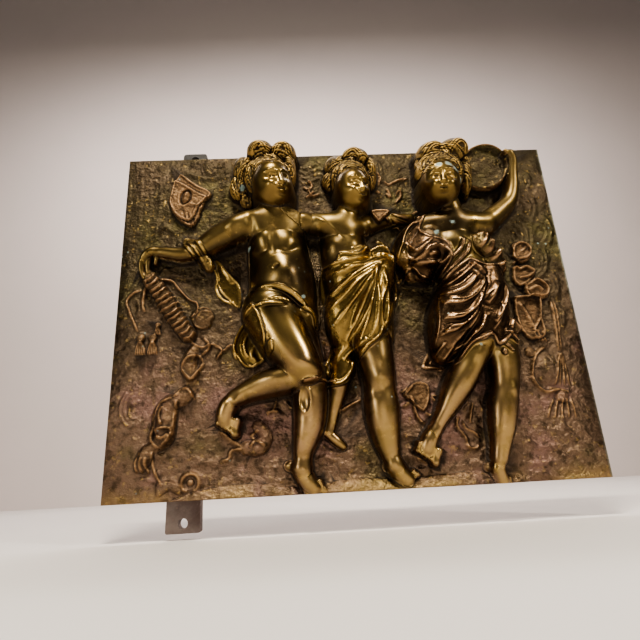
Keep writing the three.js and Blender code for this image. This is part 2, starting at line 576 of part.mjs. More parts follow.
function leftChild(relief) {
  leftStandingLeg(relief);
  leftBody(relief);
  leftArm(relief);
  leftRaisedLeg(relief);
  leftThighCloth(relief);
  leftSash(relief);
  leftGarter(relief);
  leftHipCloth(relief);
  leftHead(relief);
}

// middle child: leg behind
function middleBackLeg(relief) {
  relief.limb([[164, 84, 1, 8], [158, 66.5, 1, 7], [153.5, 50, 1, 4.6], [151, 40, 1, 4]], 2);
  relief.limb([[149, 39, 1, 3.8], [154.5, 33.5, 1.6, 3.8], [159, 29, 1, 3]], 2);
}

// middle child: body
function middleBody(relief) {
  relief.limb([[166.5, 189, 4, 18], [169, 167.5, 5, 20], [172, 146, 6, 21.5], [176, 125.5, 7, 22],
    [180, 111.5, 7, 19]], 8, 0.7);
  relief.limb([[143.5, 195, 8, 9], [156.5, 192, 10, 10], [171.5, 189.5, 9, 10],
    [182.5, 190.5, 5, 8]], 8);
  relief.swell([161, 173.5], [9, 7], 2);
  relief.swell([177, 174], [7, 7], 1.6);
  relief.swell([167, 149.5], [12, 11], 2.6);
  relief.swell([151.5, 188.5], [7, 5], 1.2);
  relief.limb([[171, 189.5, 4, 9], [187.5, 195, 3, 8], [204, 199.5, 2, 6], [223.5, 201, 1, 4.4]], 4);
  relief.limb([[123.5, 207.5, 6, 5], [131, 200, 8, 5.6], [140, 194.5, 9, 6]], 2);
}

// middle child: front leg
function middleFrontLeg(relief) {
  relief.limb([[183.5, 105.5, 6, 15], [185.5, 91, 8, 13], [187, 80, 8, 11.2], [187.5, 66.5, 7, 9.6],
    [187.5, 54.5, 6, 10.6], [188, 41.5, 6, 9.2], [189, 30, 5, 7.4], [190.5, 22, 5, 6.4],
    [192.5, 15, 4.6, 6.2]], 4);
  relief.swell([186, 72], [6, 5], 1.6);
  relief.swell([183.5, 62.5], [3, 3], -0.8);
  relief.mass([188.5, 15, 1], [4, 4.6, 4.2], 0, 4);
  relief.limb([[192.5, 15, 4.4, 6.4], [196, 9.9, 3.8, 6.2], [200, 6, 3, 5.4]], 4);
  toes(relief, [196, 5.6], [206, 9.5], 6, 2.1, [0.8, -0.7]);
  relief.swell([188.5, 82.5], [6, 7], 1);
}

// middle child: wrap round the hips
function middleWrap(relief) {
  relief.limb([[198.5, 161, 9, 8], [187, 137.5, 9, 16], [184, 115, 8, 17], [188, 105.5, 6, 13]], 3);
  relief.limb([[194.5, 158, 9, 8], [171.5, 135.5, 7, 15], [165.5, 114, 5, 14], [165, 98, 2, 9],
    [159, 82.5, 0, 6]], 3);
  drape(relief, [[151, 156.5], [160, 157.5], [165.5, 164.5], [177.5, 164.5], [189, 174.5],
    [199, 179.5], [206, 174], [207, 159], [207.5, 138], [202, 121.5], [193.5, 105], [187, 98],
    [179, 93], [172, 86], [168, 77.5], [161.5, 71], [153, 70.5], [148, 80.5], [154, 95.5], [153, 113],
    [150, 130], [149, 144]], 1.6, 2.4);
  folds(relief, [[[150, 155.5], [163, 156], [175.5, 158.5], [189.5, 163.5], [200.5, 164.5]],
    [[154, 148], [166.5, 149], [179.5, 153.5], [195.5, 160.5]], [[163.5, 164], [173, 164],
    [181.5, 169], [194, 177]], [[173.5, 166.5], [184, 171], [198, 169.5]], [[166.5, 150.5],
    [178, 151.5], [191, 158]]], 2.6, 2.3);
  fan(relief, [[198, 159], [190, 152]], [[151, 129], [188, 100]], 8, 2.9, 2.8, 2);
  relief.ridge(path([190.5, 106], [187, 99], [179, 93], [173, 86], [169, 78], [163, 71.5],
    [154, 69.5], [146, 69.5]), 2.4, 2.4, 0.1);
  folds(relief, [[[179.5, 98.5], [169.5, 93], [162.5, 87]], [[168.5, 97.5], [161, 91.5],
    [156.5, 85]]], 3, 2.2);
  relief.swell([202, 160.5], [4, 6], -2.5, 10);
}

// middle child: cloth knot behind the shoulder
function middleKnot(relief) {
  drape(relief, [[193.5, 209.5], [201, 210], [208, 209], [208, 204.5], [202, 197.5], [197.5, 193.5],
    [193, 197], [191.5, 203.5]], 3.4, 2.2);
  relief.ridge(path([200, 197], [203.5, 198.5], [205.5, 195.5]), 2.2, 2, 0.2);
  folds(relief, [[[208, 203], [215.5, 200.5], [222.5, 199]], [[207.5, 198.5], [215, 196],
    [224.5, 195]], [[208, 193], [212.5, 194], [215.5, 191]]], 2.2, 1.8);
  relief.ridge(path([196, 183], [200, 180.5], [204.5, 175.5]), 2.2, 1.2, 0.2);
}

// middle child: head
function middleHead(relief) {
  relief.limb([[170.5, 195, 8, 9.4], [173.5, 201.5, 9.5, 9], [176.5, 209, 10, 9]], 5);
  relief.mass([178, 232.5, 8.5], [15.5, 18, 13.5], 0, 2);
  relief.mass([183.5, 252.5, 10], [11, 8, 9.5], 0, 3);
  relief.mass([167.5, 247.5, 5], [9, 9.5, 9], 0, 3);
  relief.mass([163.5, 236, 2], [7.5, 9, 7], 0, 3);
  relief.mass([195, 240.5, 6], [5, 14, 9.5], 0, 3);
  face(relief, [178.5, 219, 15.5], [13.5, 18, 14], 26, 4);
  relief.ridge(path([187.5, 248], [181, 255.5], [173, 252.5], [168.5, 247]), 4.8, 1.7, 0.25);
  relief.ridge(path([184, 248.5], [191, 250], [196, 245.5], [196.5, 236]), 4.5, 1.6, 0.25);
  relief.ridge(path([167.5, 240.5], [164, 235.5], [158, 230]), 4.2, 1.5, 0.25);
  relief.ridge(path([174, 240], [170.5, 236], [169, 229.5]), 3.4, 1.2, 0.25);
}

function middleChild(relief) {
  middleBackLeg(relief);
  middleBody(relief);
  middleFrontLeg(relief);
  middleWrap(relief);
  middleKnot(relief);
  middleHead(relief);
}

// right child: standing leg
function rightStandingLeg(relief) {
  relief.limb([[275, 102.5, 4, 13], [278, 86, 6, 10], [279, 75, 6, 8.6], [277, 62.5, 6, 8.2],
    [274, 49.5, 6, 8.6], [270.5, 36.5, 6, 7.8], [267.5, 25.5, 5, 6], [264, 16.5, 5, 5]], 3);
  relief.mass([256.5, 10.7, 0.8], [4, 3.6, 4], 0, 3);
  relief.limb([[263.5, 16, 4, 5], [261, 9.7, 4, 5.4], [263, 2.1, 3, 5.2]], 3);
  toes(relief, [268, 1.2], [260.5, 0.4], 5.4, 1.7, [0.2, -1], 4);
  relief.swell([277.5, 60.5], [4, 4], 1.2);
}

// right child: body
function rightBody(relief) {
  relief.limb([[252, 184, 8, 17], [253, 163, 9, 18.5], [255, 142, 8, 20], [257.5, 119.5, 7, 20],
    [260, 106, 5, 18]], 8, 0.8);
  relief.limb([[235.5, 189.5, 8, 9.6], [249.5, 189.5, 11, 10.8], [264.5, 188.5, 11, 10.8],
    [278, 188.5, 9, 9.4]], 8);
  relief.swell([241, 171.5], [8, 7], 1.8);
  relief.swell([257, 170.5], [8, 7], 1.8);
}

// right child: raised arm with the tambourine
function rightArm(relief) {
  relief.limb([[273.5, 187.5, 9, 9.4], [282, 192, 9, 8.6], [292.5, 200, 9, 7.2], [302, 209, 9, 6],
    [306.5, 220, 10, 5], [308, 232.5, 12, 4.2], [309, 243, 15, 3.4], [307, 248.5, 17, 3.2]], 4);
  relief.limb([[308.5, 248.5, 16, 2.6], [303, 249.5, 18, 2.2]], 1);
}

// right child: hanging leg
function rightHangingLeg(relief) {
  relief.limb([[265.5, 110, 8, 14], [259, 94.5, 10, 11], [251.5, 81, 10, 9.6], [244, 69, 9, 10],
    [237, 58.5, 8, 8.6], [231, 49, 7, 6.2], [225.5, 41.5, 6, 5], [222.5, 36, 5.4, 4.6]], 4);
  relief.limb([[222, 36, 5, 5], [217.5, 29.5, 5, 6], [215.5, 24.5, 4, 6.2]], 3);
  toes(relief, [219, 20], [210.5, 28], 8, 2.4, [-0.2, -1]);
  relief.swell([254.5, 85], [5, 6], 1);
}

// right child: cloth of the left shoulder and the pouch of its fold
function rightPouch(relief) {
  relief.limb([[232.5, 192.5, 6, 6], [220.5, 180, 5, 9], [216.5, 165.5, 5, 10], [221, 152.5, 5, 8]], 4);
  relief.limb([[233, 175, 9, 11], [226.5, 161.5, 9, 12], [226.5, 152.5, 8, 8]], 4);
  drape(relief, [[233.5, 196.5], [224, 193], [216.5, 184.5], [212, 176], [206.5, 163.5],
    [209.5, 153.5], [218.5, 156.5], [227.5, 148.5], [234.5, 144.5], [245, 158.5], [246, 169],
    [238.5, 175], [230, 179]], 2, 2.6);
  relief.ridge(path([234.5, 195.5], [224.5, 193], [218, 186.5], [213.5, 179.5]), 2.2, 2.2, 0.1);
  relief.ridge(path([212, 179], [210, 171.5], [206.5, 161.5], [209, 155],
    [212.5, 150.5]), 2.2, 2.2, 0.1);
  folds(relief, [[[219, 164], [225.5, 165], [231.5, 169], [237.5, 164.5]], [[232, 172], [239.5, 167],
    [244, 160.5], [239, 153]], [[211.5, 173.5], [212.5, 160], [219.5, 153.5], [230, 154]],
    [[214, 170.5], [213, 162], [217.5, 156], [226, 155.5]], [[216.5, 184], [214, 175.5], [219.5, 170],
    [228, 171.5]], [[223, 159.5], [232, 159], [237.5, 157.5]], [[218.5, 153], [227, 150],
    [236.5, 154.5]], [[219, 177.5], [224, 173.5], [231, 175.5]]], 2.4, 2.4);
  relief.mass([229, 146, 4], [6.5, 3.4, 5], 0, 1.5);
  relief.ridge(path([256, 170.5], [253.5, 163.5], [246.5, 158], [239.5, 153.5],
    [235, 144]), 2.6, 2.6, 0.1);
  relief.ridge(path([259, 169.5], [255, 160.5], [249, 154.5], [242, 150], [237, 142.5]), 2.2, 1.4, 0.1);
  relief.ridge(path([224.5, 205.5], [232.5, 209], [238, 205.5], [246, 201], [251, 195]), 2.4, 1.8, 0.1);
}

// right child: bunched roll at the waist
function rightBunch(relief) {
  relief.mass([268, 166, 12], [12, 10, 10], -20, 3);
  relief.mass([276.5, 158, 9], [9, 8, 9], -30, 3);
  folds(relief, [[[263, 176], [268.5, 174], [273.5, 168.5], [270.5, 162]], [[272, 162.5],
    [280, 165.5], [280.5, 160], [275, 155.5]], [[276.5, 154.5], [286, 163], [286.5, 157],
    [280, 152.5]], [[261.5, 168], [265.5, 161.5], [273.5, 155.5]], [[264.5, 170.5], [270, 167],
    [273, 160]], [[261, 164], [265.5, 157], [273, 152.5]], [[260, 172], [265, 175.5],
    [270, 181.5]]], 2.4, 3);
}

// right child: skirt
function rightSkirt(relief) {
  relief.limb([[266.5, 154.5, 9, 10], [252.5, 132.5, 9, 16], [243, 115, 8, 16], [238, 100.5, 6, 13],
    [235.5, 90.5, 2, 10]], 4);
  relief.limb([[274, 154.5, 8, 10], [271, 130.5, 8, 15], [271, 112.5, 6, 14]], 4);
  drape(relief, [[257.5, 155.5], [270, 152], [286.5, 151.5], [289.5, 138], [288.5, 119], [283, 100.5],
    [271.5, 90], [265.5, 96.5], [253, 93], [248.5, 89], [242, 82.5], [231.5, 78.5], [219, 80.5],
    [225, 93], [229, 107], [230, 121.5], [233, 135], [242, 145.5]], 1.8, 2.4);
  fan(relief, [[262, 151], [266, 112]], [[236, 137], [238, 87]], 8, 3, 3, 3);
  folds(relief, [
    [[255, 147], [260.5, 142], [267, 139]],
    [[276, 135], [271, 125.5], [265.5, 119.5]],
    [[284, 137.5], [280.5, 122], [269.5, 105.5]],
  ], 2.6, 2.6);
  relief.mass([256.5, 94, 6], [7, 3, 9], 20, 1.5);
  relief.ridge(path([219, 80.5], [226, 79.5], [233, 78.5], [242, 83], [247.5, 89], [252.5, 93.5],
    [260, 95.5], [266, 98.5]), 2.4, 2.6, 0.1);
  relief.ridge(path([233, 100], [238.5, 104], [244.5, 104.5], [248.5, 107]), 2.2, 1.6, 0.1);
}

// right child: ribbons at the knee
function rightKneeRibbons(relief) {
  relief.limb([[280.5, 109, 6, 7], [288, 106, 5, 6]], 1.5);
  folds(relief, [[[281.5, 111], [287.5, 107.5], [296, 102]], [[276, 100.5], [281.5, 97],
    [288.5, 92.5]], [[274, 92.5], [278, 89.5], [280.5, 86]], [[281.5, 102.5], [285, 108.5],
    [291.5, 113]], [[273.5, 88], [274.5, 83.5]]], 3, 2.6);
  drape(relief, [[277, 99.5], [284.5, 102.5], [293.5, 100], [291.5, 93], [282, 95.5]], 1.6, 2);
}

// right child: head
function rightHead(relief) {
  relief.limb([[254.5, 191, 12, 9.6], [253, 197, 14, 9], [251, 205, 15, 9]], 5);
  relief.mass([249.5, 234.5, 13], [18.5, 19, 14], 0, 2);
  relief.mass([244, 251, 14], [12, 10, 10.5], 0, 3);
  relief.mass([261.5, 252.5, 16], [12, 9.5, 11], 0, 3);
  relief.mass([238, 243.5, 7], [6.5, 14, 10], 0, 3);
  relief.mass([270, 235, 9], [5.5, 18, 10.5], 0, 3);
  face(relief, [246, 219, 20], [15, 19, 15], -6, -4);
  relief.ridge(path([254.5, 243.5], [249.5, 254], [241.5, 253.5], [235.5, 249]), 5, 1.8, 0.25);
  relief.ridge(path([252.5, 243.5], [263, 254.5], [269.5, 252.5], [272, 242.5]), 5, 1.8, 0.25);
  relief.ridge(path([239, 244], [234, 241], [232.5, 232.5], [236.5, 225.5]), 4.5, 1.6, 0.25);
  relief.ridge(path([243.5, 237.5], [239, 235.5], [238, 229]), 3.6, 1.3, 0.25);
  relief.ridge(path([255, 237.5], [261.5, 234], [264.5, 227]), 3.6, 1.3, 0.25);
}

function rightChild(relief) {
  tambourine(relief, 287, 241.5, 19, 20);
  rightStandingLeg(relief);
  rightBody(relief);
  rightArm(relief);
  rightHangingLeg(relief);
  rightPouch(relief);
  rightBunch(relief);
  rightSkirt(relief);
  rightKneeRibbons(relief);
  rightHead(relief);
}

// a shallow frame drum seen from its open side, its hoop standing up most at the upper right
function tambourine(relief, u0, v0, radius, rim) {
  const reach = radius + 6;
  relief.over(u0 - reach, v0 - reach, u0 + reach, v0 + reach, (height, u, v) => {
    const away = Math.hypot(u - u0, v - v0);
    const lift = clamp(0.5 + ((u - u0) * 0.62 + (v - v0) * 0.78) / (2 * radius), 0, 1);
    const disc = rim * (0.3 + 0.32 * lift) + 0.8 * Math.cos(Math.min(away / radius, 1) * 2.4);
    const hoop = (1.2 + 3.6 * lift) * bell((away - radius + 1.4) / 1.6);
    return Math.max(height, disc + hoop - Math.max(0, away - radius) * draft);
  });
}

// Thins the fine grid by folding nodes into their neighbours, flattest places first, until the
// wanted number of triangles is left. A node's ten sums tell how far a point lies off the planes
// it stands for, so smooth parts keep few triangles and edges and folds keep many.
class Thinner {
  constructor(relief) {
    this.relief = relief;
    this.faces = [];
    this.around = [];
    this.sums = [];
    const { side } = relief;
    for (let node = 0; node < side * side; node++) {
      this.around.push(new Set());
      this.sums.push(new Float64Array(10));
    }
    for (let j = 0; j < cells; j++) {
      for (let i = 0; i < cells; i++) {
        const a = j * side + i;
        const b = a + 1;
        const c = a + side;
        const d = c + 1;
        const { heights } = relief;
        const rising = Math.abs(heights[a] - heights[d]) < Math.abs(heights[b] - heights[c]);
        this.addFace(...(rising ? [a, b, d] : [a, b, c]));
        this.addFace(...(rising ? [a, d, c] : [b, d, c]));
      }
    }
    this.count = this.faces.length;
    this.faces.forEach((face) => this.addPlane(face));
    this.fixBorder();
  }

  addFace(a, b, c) {
    const face = [a, b, c];
    this.faces.push(face);
    face.forEach((node) => this.around[node].add(face));
  }

  point(node) {
    const { side, heights } = this.relief;
    const u = ((node % side) / cells) * plateWidth;
    const v = (Math.floor(node / side) / cells) * plateHeight;
    return [u, v, heights[node]];
  }

  addPlane(face) {
    const [p, q, r] = face.map((node) => this.point(node));
    const [ax, ay, az] = [q[0] - p[0], q[1] - p[1], q[2] - p[2]];
    const [bx, by, bz] = [r[0] - p[0], r[1] - p[1], r[2] - p[2]];
    const normal = [ay * bz - az * by, az * bx - ax * bz, ax * by - ay * bx];
    const size = Math.hypot(...normal);
    const [x, y, z] = normal.map((part) => part / size);
    const w = -(x * p[0] + y * p[1] + z * p[2]);
    const weight = Math.min(size, 4);
    for (const node of face) this.addTo(node, [x, y, z, w], weight);
  }

  addTo(node, [x, y, z, w], weight) {
    const s = this.sums[node];
    [x * x, x * y, x * z, x * w, y * y, y * z, y * w, z * z, z * w, w * w]
      .forEach((part, n) => { s[n] += part * weight; });
  }

  // keeps the four straight edges of the plate where they are
  fixBorder() {
    const last = cells;
    for (let n = 0; n <= last; n++) {
      this.addTo(n, [0, 1, 0, 0], 50);
      this.addTo(last * (last + 1) + n, [0, 1, 0, -plateHeight], 50);
      this.addTo(n * (last + 1), [1, 0, 0, 0], 50);
      this.addTo(n * (last + 1) + last, [1, 0, 0, -plateWidth], 50);
    }
  }

  borders(node) {
    const i = node % (cells + 1);
    const j = Math.floor(node / (cells + 1));
    return [i === 0, i === cells, j === 0, j === cells];
  }

  cost(node, into) {
    const s = this.sums[node];
    const [x, y, z] = this.point(into);
    return s[0] * x * x + s[4] * y * y + s[7] * z * z + s[9]
      + 2 * (s[1] * x * y + s[2] * x * z + s[3] * x + s[5] * y * z + s[6] * y + s[8] * z);
  }

  // folding is allowed where no triangle would turn over or lose its width
  allowed(node, into) {
    const mine = this.borders(node);
    const theirs = this.borders(into);
    if (mine.some((edge, n) => edge && !theirs[n])) return false;
    let shared = 0;
    const near = new Set();
    for (const face of this.around[node]) face.forEach((other) => near.add(other));
    const ring = new Set();
    for (const face of this.around[into]) face.forEach((other) => ring.add(other));
    for (const other of near) if (other !== node && other !== into && ring.has(other)) shared++;
    let dropped = 0;
    for (const face of this.around[node]) {
      if (face.includes(into)) {
        dropped++;
        continue;
      }
      const [p, q, r] = face.map((other) => this.point(other === node ? into : other));
      const area = (q[0] - p[0]) * (r[1] - p[1]) - (q[1] - p[1]) * (r[0] - p[0]);
      const longest = Math.max(Math.hypot(q[0] - p[0], q[1] - p[1]),
        Math.hypot(r[0] - q[0], r[1] - q[1]), Math.hypot(p[0] - r[0], p[1] - r[1]));
      if (area < 0.05 * longest * longest) return false;
    }
    return shared === dropped;
  }

  fold(node, into) {
    for (const face of this.around[node]) {
      if (face.includes(into)) {
        face.forEach((other) => this.around[other].delete(face));
        face.length = 0;
        this.count--;
      } else {
        face[face.indexOf(node)] = into;
        this.around[into].add(face);
      }
    }
    this.around[node].clear();
    this.sums[node].forEach((part, n) => { this.sums[into][n] += part; });
  }

  run(wanted) {
    for (let limit = 0.002; this.count > wanted; limit *= 1.5) {
      for (let node = 0; node < this.around.length && this.count > wanted; node++) {
        if (!this.around[node].size) continue;
        const near = new Set();
        for (const face of this.around[node]) face.forEach((other) => near.add(other));
        near.delete(node);
        let best = limit;
        let into = -1;
        for (const other of near) {
          const cost = this.cost(node, other);
          if (cost < best && this.allowed(node, other)) {
            best = cost;
            into = other;
          }
        }
        if (into >= 0) this.fold(node, into);
      }
    }
    return this.faces.filter((face) => face.length);
  }
}

// closes the height surface with side walls and a back face fanned from the middle
function closedPlate(relief, faces) {
  const { side, heights } = relief;
  const positions = [];
  const index = [];
  const front = new Map();
  const back = new Map();
  const place = (node, y) => {
    const u = ((node % side) / cells) * plateWidth;
    const v = (Math.floor(node / side) / cells) * plateHeight;
    positions.push(u - originU, y, v - originV);
    return positions.length / 3 - 1;
  };
  const frontVertex = (node) => {
    if (!front.has(node)) front.set(node, place(node, faceY - heights[node]));
    return front.get(node);
  };
  const backVertex = (node) => {
    if (!back.has(node)) back.set(node, place(node, backY));
    return back.get(node);
  };
  const open = new Set();
  for (const [a, b, c] of faces) {
    index.push(frontVertex(a), frontVertex(b), frontVertex(c));
    for (const [from, to] of [[a, b], [b, c], [c, a]]) {
      if (!open.delete(to + "," + from)) open.add(from + "," + to);
    }
  }
  positions.push(plateWidth / 2 - originU, backY, plateHeight / 2 - originV);
  const middle = positions.length / 3 - 1;
  for (const edge of open) {
    const [from, to] = edge.split(",").map(Number);
    index.push(frontVertex(to), frontVertex(from), backVertex(from));
    index.push(frontVertex(to), backVertex(from), backVertex(to));
    index.push(backVertex(to), backVertex(from), middle);
  }
  return new THREE.BufferGeometry()
    .setAttribute("position", new THREE.Float32BufferAttribute(positions, 3))
    .setIndex(index);
}

function makePlaque() {
  const relief = new Relief();
  landscape(relief);
  wing(relief);
  garland(relief);
  streamers(relief);
  middleStreamers(relief);
  backgroundKnots(relief);
  middleChild(relief);
  rightChild(relief);
  leftChild(relief);
  relief.over(0, 0, plateWidth, plateHeight, (height, u, v) => {
    const edge = Math.min(u, v + 3, plateWidth - u, plateHeight - v);
    return clamp(height, 0, edge * 9);
  });
  return closedPlate(relief, new Thinner(relief).run(frontTriangles));
}

// the flat bar, a little narrower at the top, with a screw hole near each end
function makeBar() {
  const shape = new THREE.Shape();
  const foot = barWidthLow / 2;
  const head = barWidthHigh / 2;
  const low = barLow - originV;
  const high = barHigh - originV;
  shape.moveTo(-foot + 1.5, low);
  shape.lineTo(foot - 1.5, low);
  shape.quadraticCurveTo(foot, low, foot, low + 1.5);
  shape.lineTo(head, high - 3);
  shape.quadraticCurveTo(head, high, head - 3, high);
  shape.lineTo(-head + 3, high);
  shape.quadraticCurveTo(-head, high, -head, high - 3);
  shape.lineTo(-foot, low + 1.5);
  shape.quadraticCurveTo(-foot, low, -foot + 1.5, low);
  for (const v of [low + holeFromEnd, high - holeFromEnd]) {
    const hole = new THREE.Path();
    hole.absarc(0, v, screwHole / 2, 0, 2 * Math.PI, true);
    shape.holes.push(hole);
  }
  const bar = new THREE.ExtrudeGeometry(shape, {
    depth: barThickness,
    bevelEnabled: false,
    curveSegments: 8,
  });
  return bar.rotateX(Math.PI / 2);
}

const brass = new THREE.MeshStandardMaterial({ color: 0x8a6a3a, roughness: 0.4, metalness: 1 });
const darkMetal = new THREE.MeshStandardMaterial({ color: 0x4a4242, roughness: 0.6, metalness: 0.8 });

const group = new THREE.Group();
group.name = "relief_plaque_with_bar";

const plaque = new THREE.Mesh(makePlaque(), brass);
plaque.name = "relief_plaque";
group.add(plaque);

const bar = new THREE.Mesh(makeBar(), darkMetal);
bar.name = "mounting_strap";
group.add(bar);

export default group;
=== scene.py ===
import bpy
import numpy as np
from mathutils import Matrix, Vector


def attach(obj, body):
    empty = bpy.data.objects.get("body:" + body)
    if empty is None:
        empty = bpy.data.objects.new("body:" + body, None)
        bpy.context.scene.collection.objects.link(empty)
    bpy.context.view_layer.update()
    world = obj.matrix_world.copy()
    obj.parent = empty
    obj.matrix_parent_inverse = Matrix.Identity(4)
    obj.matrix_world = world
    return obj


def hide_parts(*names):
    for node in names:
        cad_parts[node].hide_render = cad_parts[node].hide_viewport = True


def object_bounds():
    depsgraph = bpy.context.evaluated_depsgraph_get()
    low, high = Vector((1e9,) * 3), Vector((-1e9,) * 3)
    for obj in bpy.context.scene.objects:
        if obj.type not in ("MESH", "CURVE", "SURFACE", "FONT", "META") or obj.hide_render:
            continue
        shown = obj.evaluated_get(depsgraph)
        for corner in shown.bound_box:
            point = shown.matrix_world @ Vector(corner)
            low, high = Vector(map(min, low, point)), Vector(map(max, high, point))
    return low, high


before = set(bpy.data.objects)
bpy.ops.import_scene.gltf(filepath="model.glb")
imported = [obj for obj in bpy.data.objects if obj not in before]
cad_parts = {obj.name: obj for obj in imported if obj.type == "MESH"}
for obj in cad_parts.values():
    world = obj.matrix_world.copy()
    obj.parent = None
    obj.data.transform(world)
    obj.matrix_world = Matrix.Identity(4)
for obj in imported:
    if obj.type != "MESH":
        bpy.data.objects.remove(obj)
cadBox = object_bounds()
print("frame loaded")

mm = 0.001


def deselectAll():
    if bpy.context.object and bpy.context.object.mode != "OBJECT":
        bpy.ops.object.mode_set(mode="OBJECT")
    bpy.ops.object.select_all(action="DESELECT")


def choose(piece):  # makes one object the only selected and active one
    deselectAll()
    piece.select_set(True)
    bpy.context.view_layer.objects.active = piece


def readPlaces(piece):  # every vertex of a mesh, in metres
    places = np.empty(len(piece.data.vertices) * 3, np.float32)
    piece.data.vertices.foreach_get("co", places)
    return places.reshape(-1, 3)


def writePlaces(piece, places):
    piece.data.vertices.foreach_set("co", places.astype(np.float32).ravel())
    piece.data.update()


def boxOf(piece):  # lowest and highest corner in millimetres
    places = readPlaces(piece).astype(float) / mm
    return places.min(axis=0).round(1).tolist(), places.max(axis=0).round(1).tolist()


# where the camera stands and how it is turned, in metres; lens and sensor in millimetres
view = {
    "place": (0.08298, -0.34873, -0.11771),
    "right": (0.99837, -0.02290, -0.05220),
    "up": (0.04230, -0.31618, 0.94776),
    "lens": 27.0,
    "sensor": 36.0,
    "nearest": 0.01,
}


def makeCamera():
    camera = bpy.data.objects.new("plaqueCamera", bpy.data.cameras.new("plaqueCamera"))
    bpy.context.scene.collection.objects.link(camera)
    right = Vector(view["right"]).normalized()
    up = Vector(view["up"])
    up = (up - right * up.dot(right)).normalized()
    turn = Matrix((right, up, right.cross(up))).transposed()
    camera.matrix_world = Matrix.Translation(view["place"]) @ turn.to_4x4()
    camera.data.lens = view["lens"]
    camera.data.sensor_width = view["sensor"]
    camera.data.clip_start = view["nearest"]
    bpy.context.scene.camera = camera


# The picture is a height surface on the plate. Places on it are in millimetres from the plate's
# lower left corner, u to the right and v up, and heights are above the plate's flat face.
low, high = boxOf(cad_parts["relief_plaque"])
plate = {
    "width": high[0] - low[0],
    "height": high[2] - low[2],
    "thick": 5.0,
    "back": high[1],
    "u": -low[0],  # the origin's place on the plate
    "v": -low[2],
    "step": 0.6,  # between two points of the height surface
}
plate["face"] = plate["back"] - plate["thick"]

sculpt = {
    "draft": 6.5,  # how steeply the sides of a form fall away
    "apron": 8.0,  # how far round a form its sides are worked
    "takeOver": 1.2,  # height over which one surface replaces another
    "dentReach": 2.6,  # in half sizes of a dent
    "ridgeReach": 2.2,  # in widths of a ridge
    "rimSlope": 9.0,  # the relief starts this steeply inside the plate's rim
    "footRoom": 3.0,  # how much nearer the lower edge it may start, for the feet
}

columns = int(round(plate["width"] / plate["step"])) + 1
rows = int(round(plate["height"] / plate["step"])) + 1
gridU = np.linspace(0, plate["width"], columns)
gridV = np.linspace(0, plate["height"], rows)
rise = np.zeros((rows, columns))  # how far the picture stands out from the plate's face
zones = {name: np.zeros((rows, columns)) for name in ("skin", "cloth", "hair", "trim")}


def window(u0, v0, u1, v1):  # the grid points inside a box, and their places
    part = (slice(*np.searchsorted(gridV, (v0, v1))), slice(*np.searchsorted(gridU, (u0, u1))))
    return part, gridU[part[1]][None, :], gridV[part[0]][:, None]


def around(u, v, reach):  # the grid points round one place
    return window(u - reach, v - reach, u + reach, v + reach)


def roundLine(line, reach):  # the grid points round a line of places
    (u0, v0), (u1, v1) = line[:, :2].min(0) - reach, line[:, :2].max(0) + reach
    return window(u0, v0, u1, v1)


def paint(part, weight, zone):  # says what the surface is made to look like there
    if zone is None:
        return
    for name, amount in zones.items():
        amount[part] += weight * ((name == zone) - amount[part])


def meet(part, top, soft, zone):  # the higher of two surfaces, with a rounded join
    old = rise[part]
    gap = np.clip(1 - np.abs(old - top) / soft, 0, 1)
    rise[part] = np.maximum(old, top) + soft * gap * gap / 4
    paint(part, np.clip(0.5 + (top - old) / sculpt["takeOver"], 0, 1), zone)


def extend(p):  # a line of points with one more at each end, to lead a curve in and out
    return np.vstack([2 * p[0] - p[1], p, 2 * p[-1] - p[-2]])


def between(a, b, c, d, t):  # a smooth curve from b to c, with a and d giving the direction
    bend = (2 * a - 5 * b + 4 * c - d) * t**2
    twist = (3 * b - a - 3 * c + d) * t**3
    return 0.5 * (2 * b + (c - a) * t + bend + twist)


def spine(joints):  # the joints joined by a smooth line that also carries height and radius
    p = np.array(joints, float)
    if len(p) < 3:
        return p
    runs = []
    q = extend(p)
    for a, b, c, d in zip(q, q[1:], q[2:], q[3:]):
        steps = max(2, int(np.hypot(*(c - b)[:2])) + 1)
        runs.append(between(a, b, c, d, np.linspace(0, 1, steps, endpoint=False)[:, None]))
    return np.vstack(runs + [p[-1:]])


def curve(points, gap=1.5):  # evenly spaced places on a smooth line through a few points
    p = extend(np.array(points, float))
    t = np.linspace(0, 1, 24, endpoint=False)[:, None]
    runs = [between(a, b, c, d, t) for a, b, c, d in zip(p, p[1:], p[2:], p[3:])]
    line = np.vstack(runs + [p[-2:-1]])
    length = np.concatenate([[0], np.cumsum(np.hypot(*np.diff(line, axis=0).T))])
    marks = np.linspace(0, length[-1], max(3, int(length[-1] / gap) + 1))
    return np.stack([np.interp(marks, length, line[:, k]) for k in (0, 1)], 1)


def turning(lean):  # cosine and sine of an angle in degrees
    return np.cos(np.radians(lean)), np.sin(np.radians(lean))


def arc(u, v, ru, rv, start, end, lean=0):  # a few points round an oval, angles in degrees
    c, s = turning(lean)
    points = []
    for t in np.radians(np.linspace(start, end, max(5, int(abs(end - start) / 30) + 2))):
        across, up = ru * np.cos(t), rv * np.sin(t)
        points.append((u + across * c - up * s, v + across * s + up * c))
    return points


def inOval(u, v, middle, half, lean):  # places across and along a leaning oval, 1 at its edge
    c, s = turning(lean)
    u, v = u - middle[0], v - middle[1]
    return (u * c + v * s) / half[0], (v * c - u * s) / half[1]


def fromRun(u, v, start, end):  # how far along a straight run, how far off it, and on which hand
    du, dv = end[0] - start[0], end[1] - start[1]
    u, v = u - start[0], v - start[1]
    t = np.clip((u * du + v * dv) / (du**2 + dv**2 or 1), 0, 1)
    return t, np.hypot(u - t * du, v - t * dv), np.sign(u * dv - v * du)


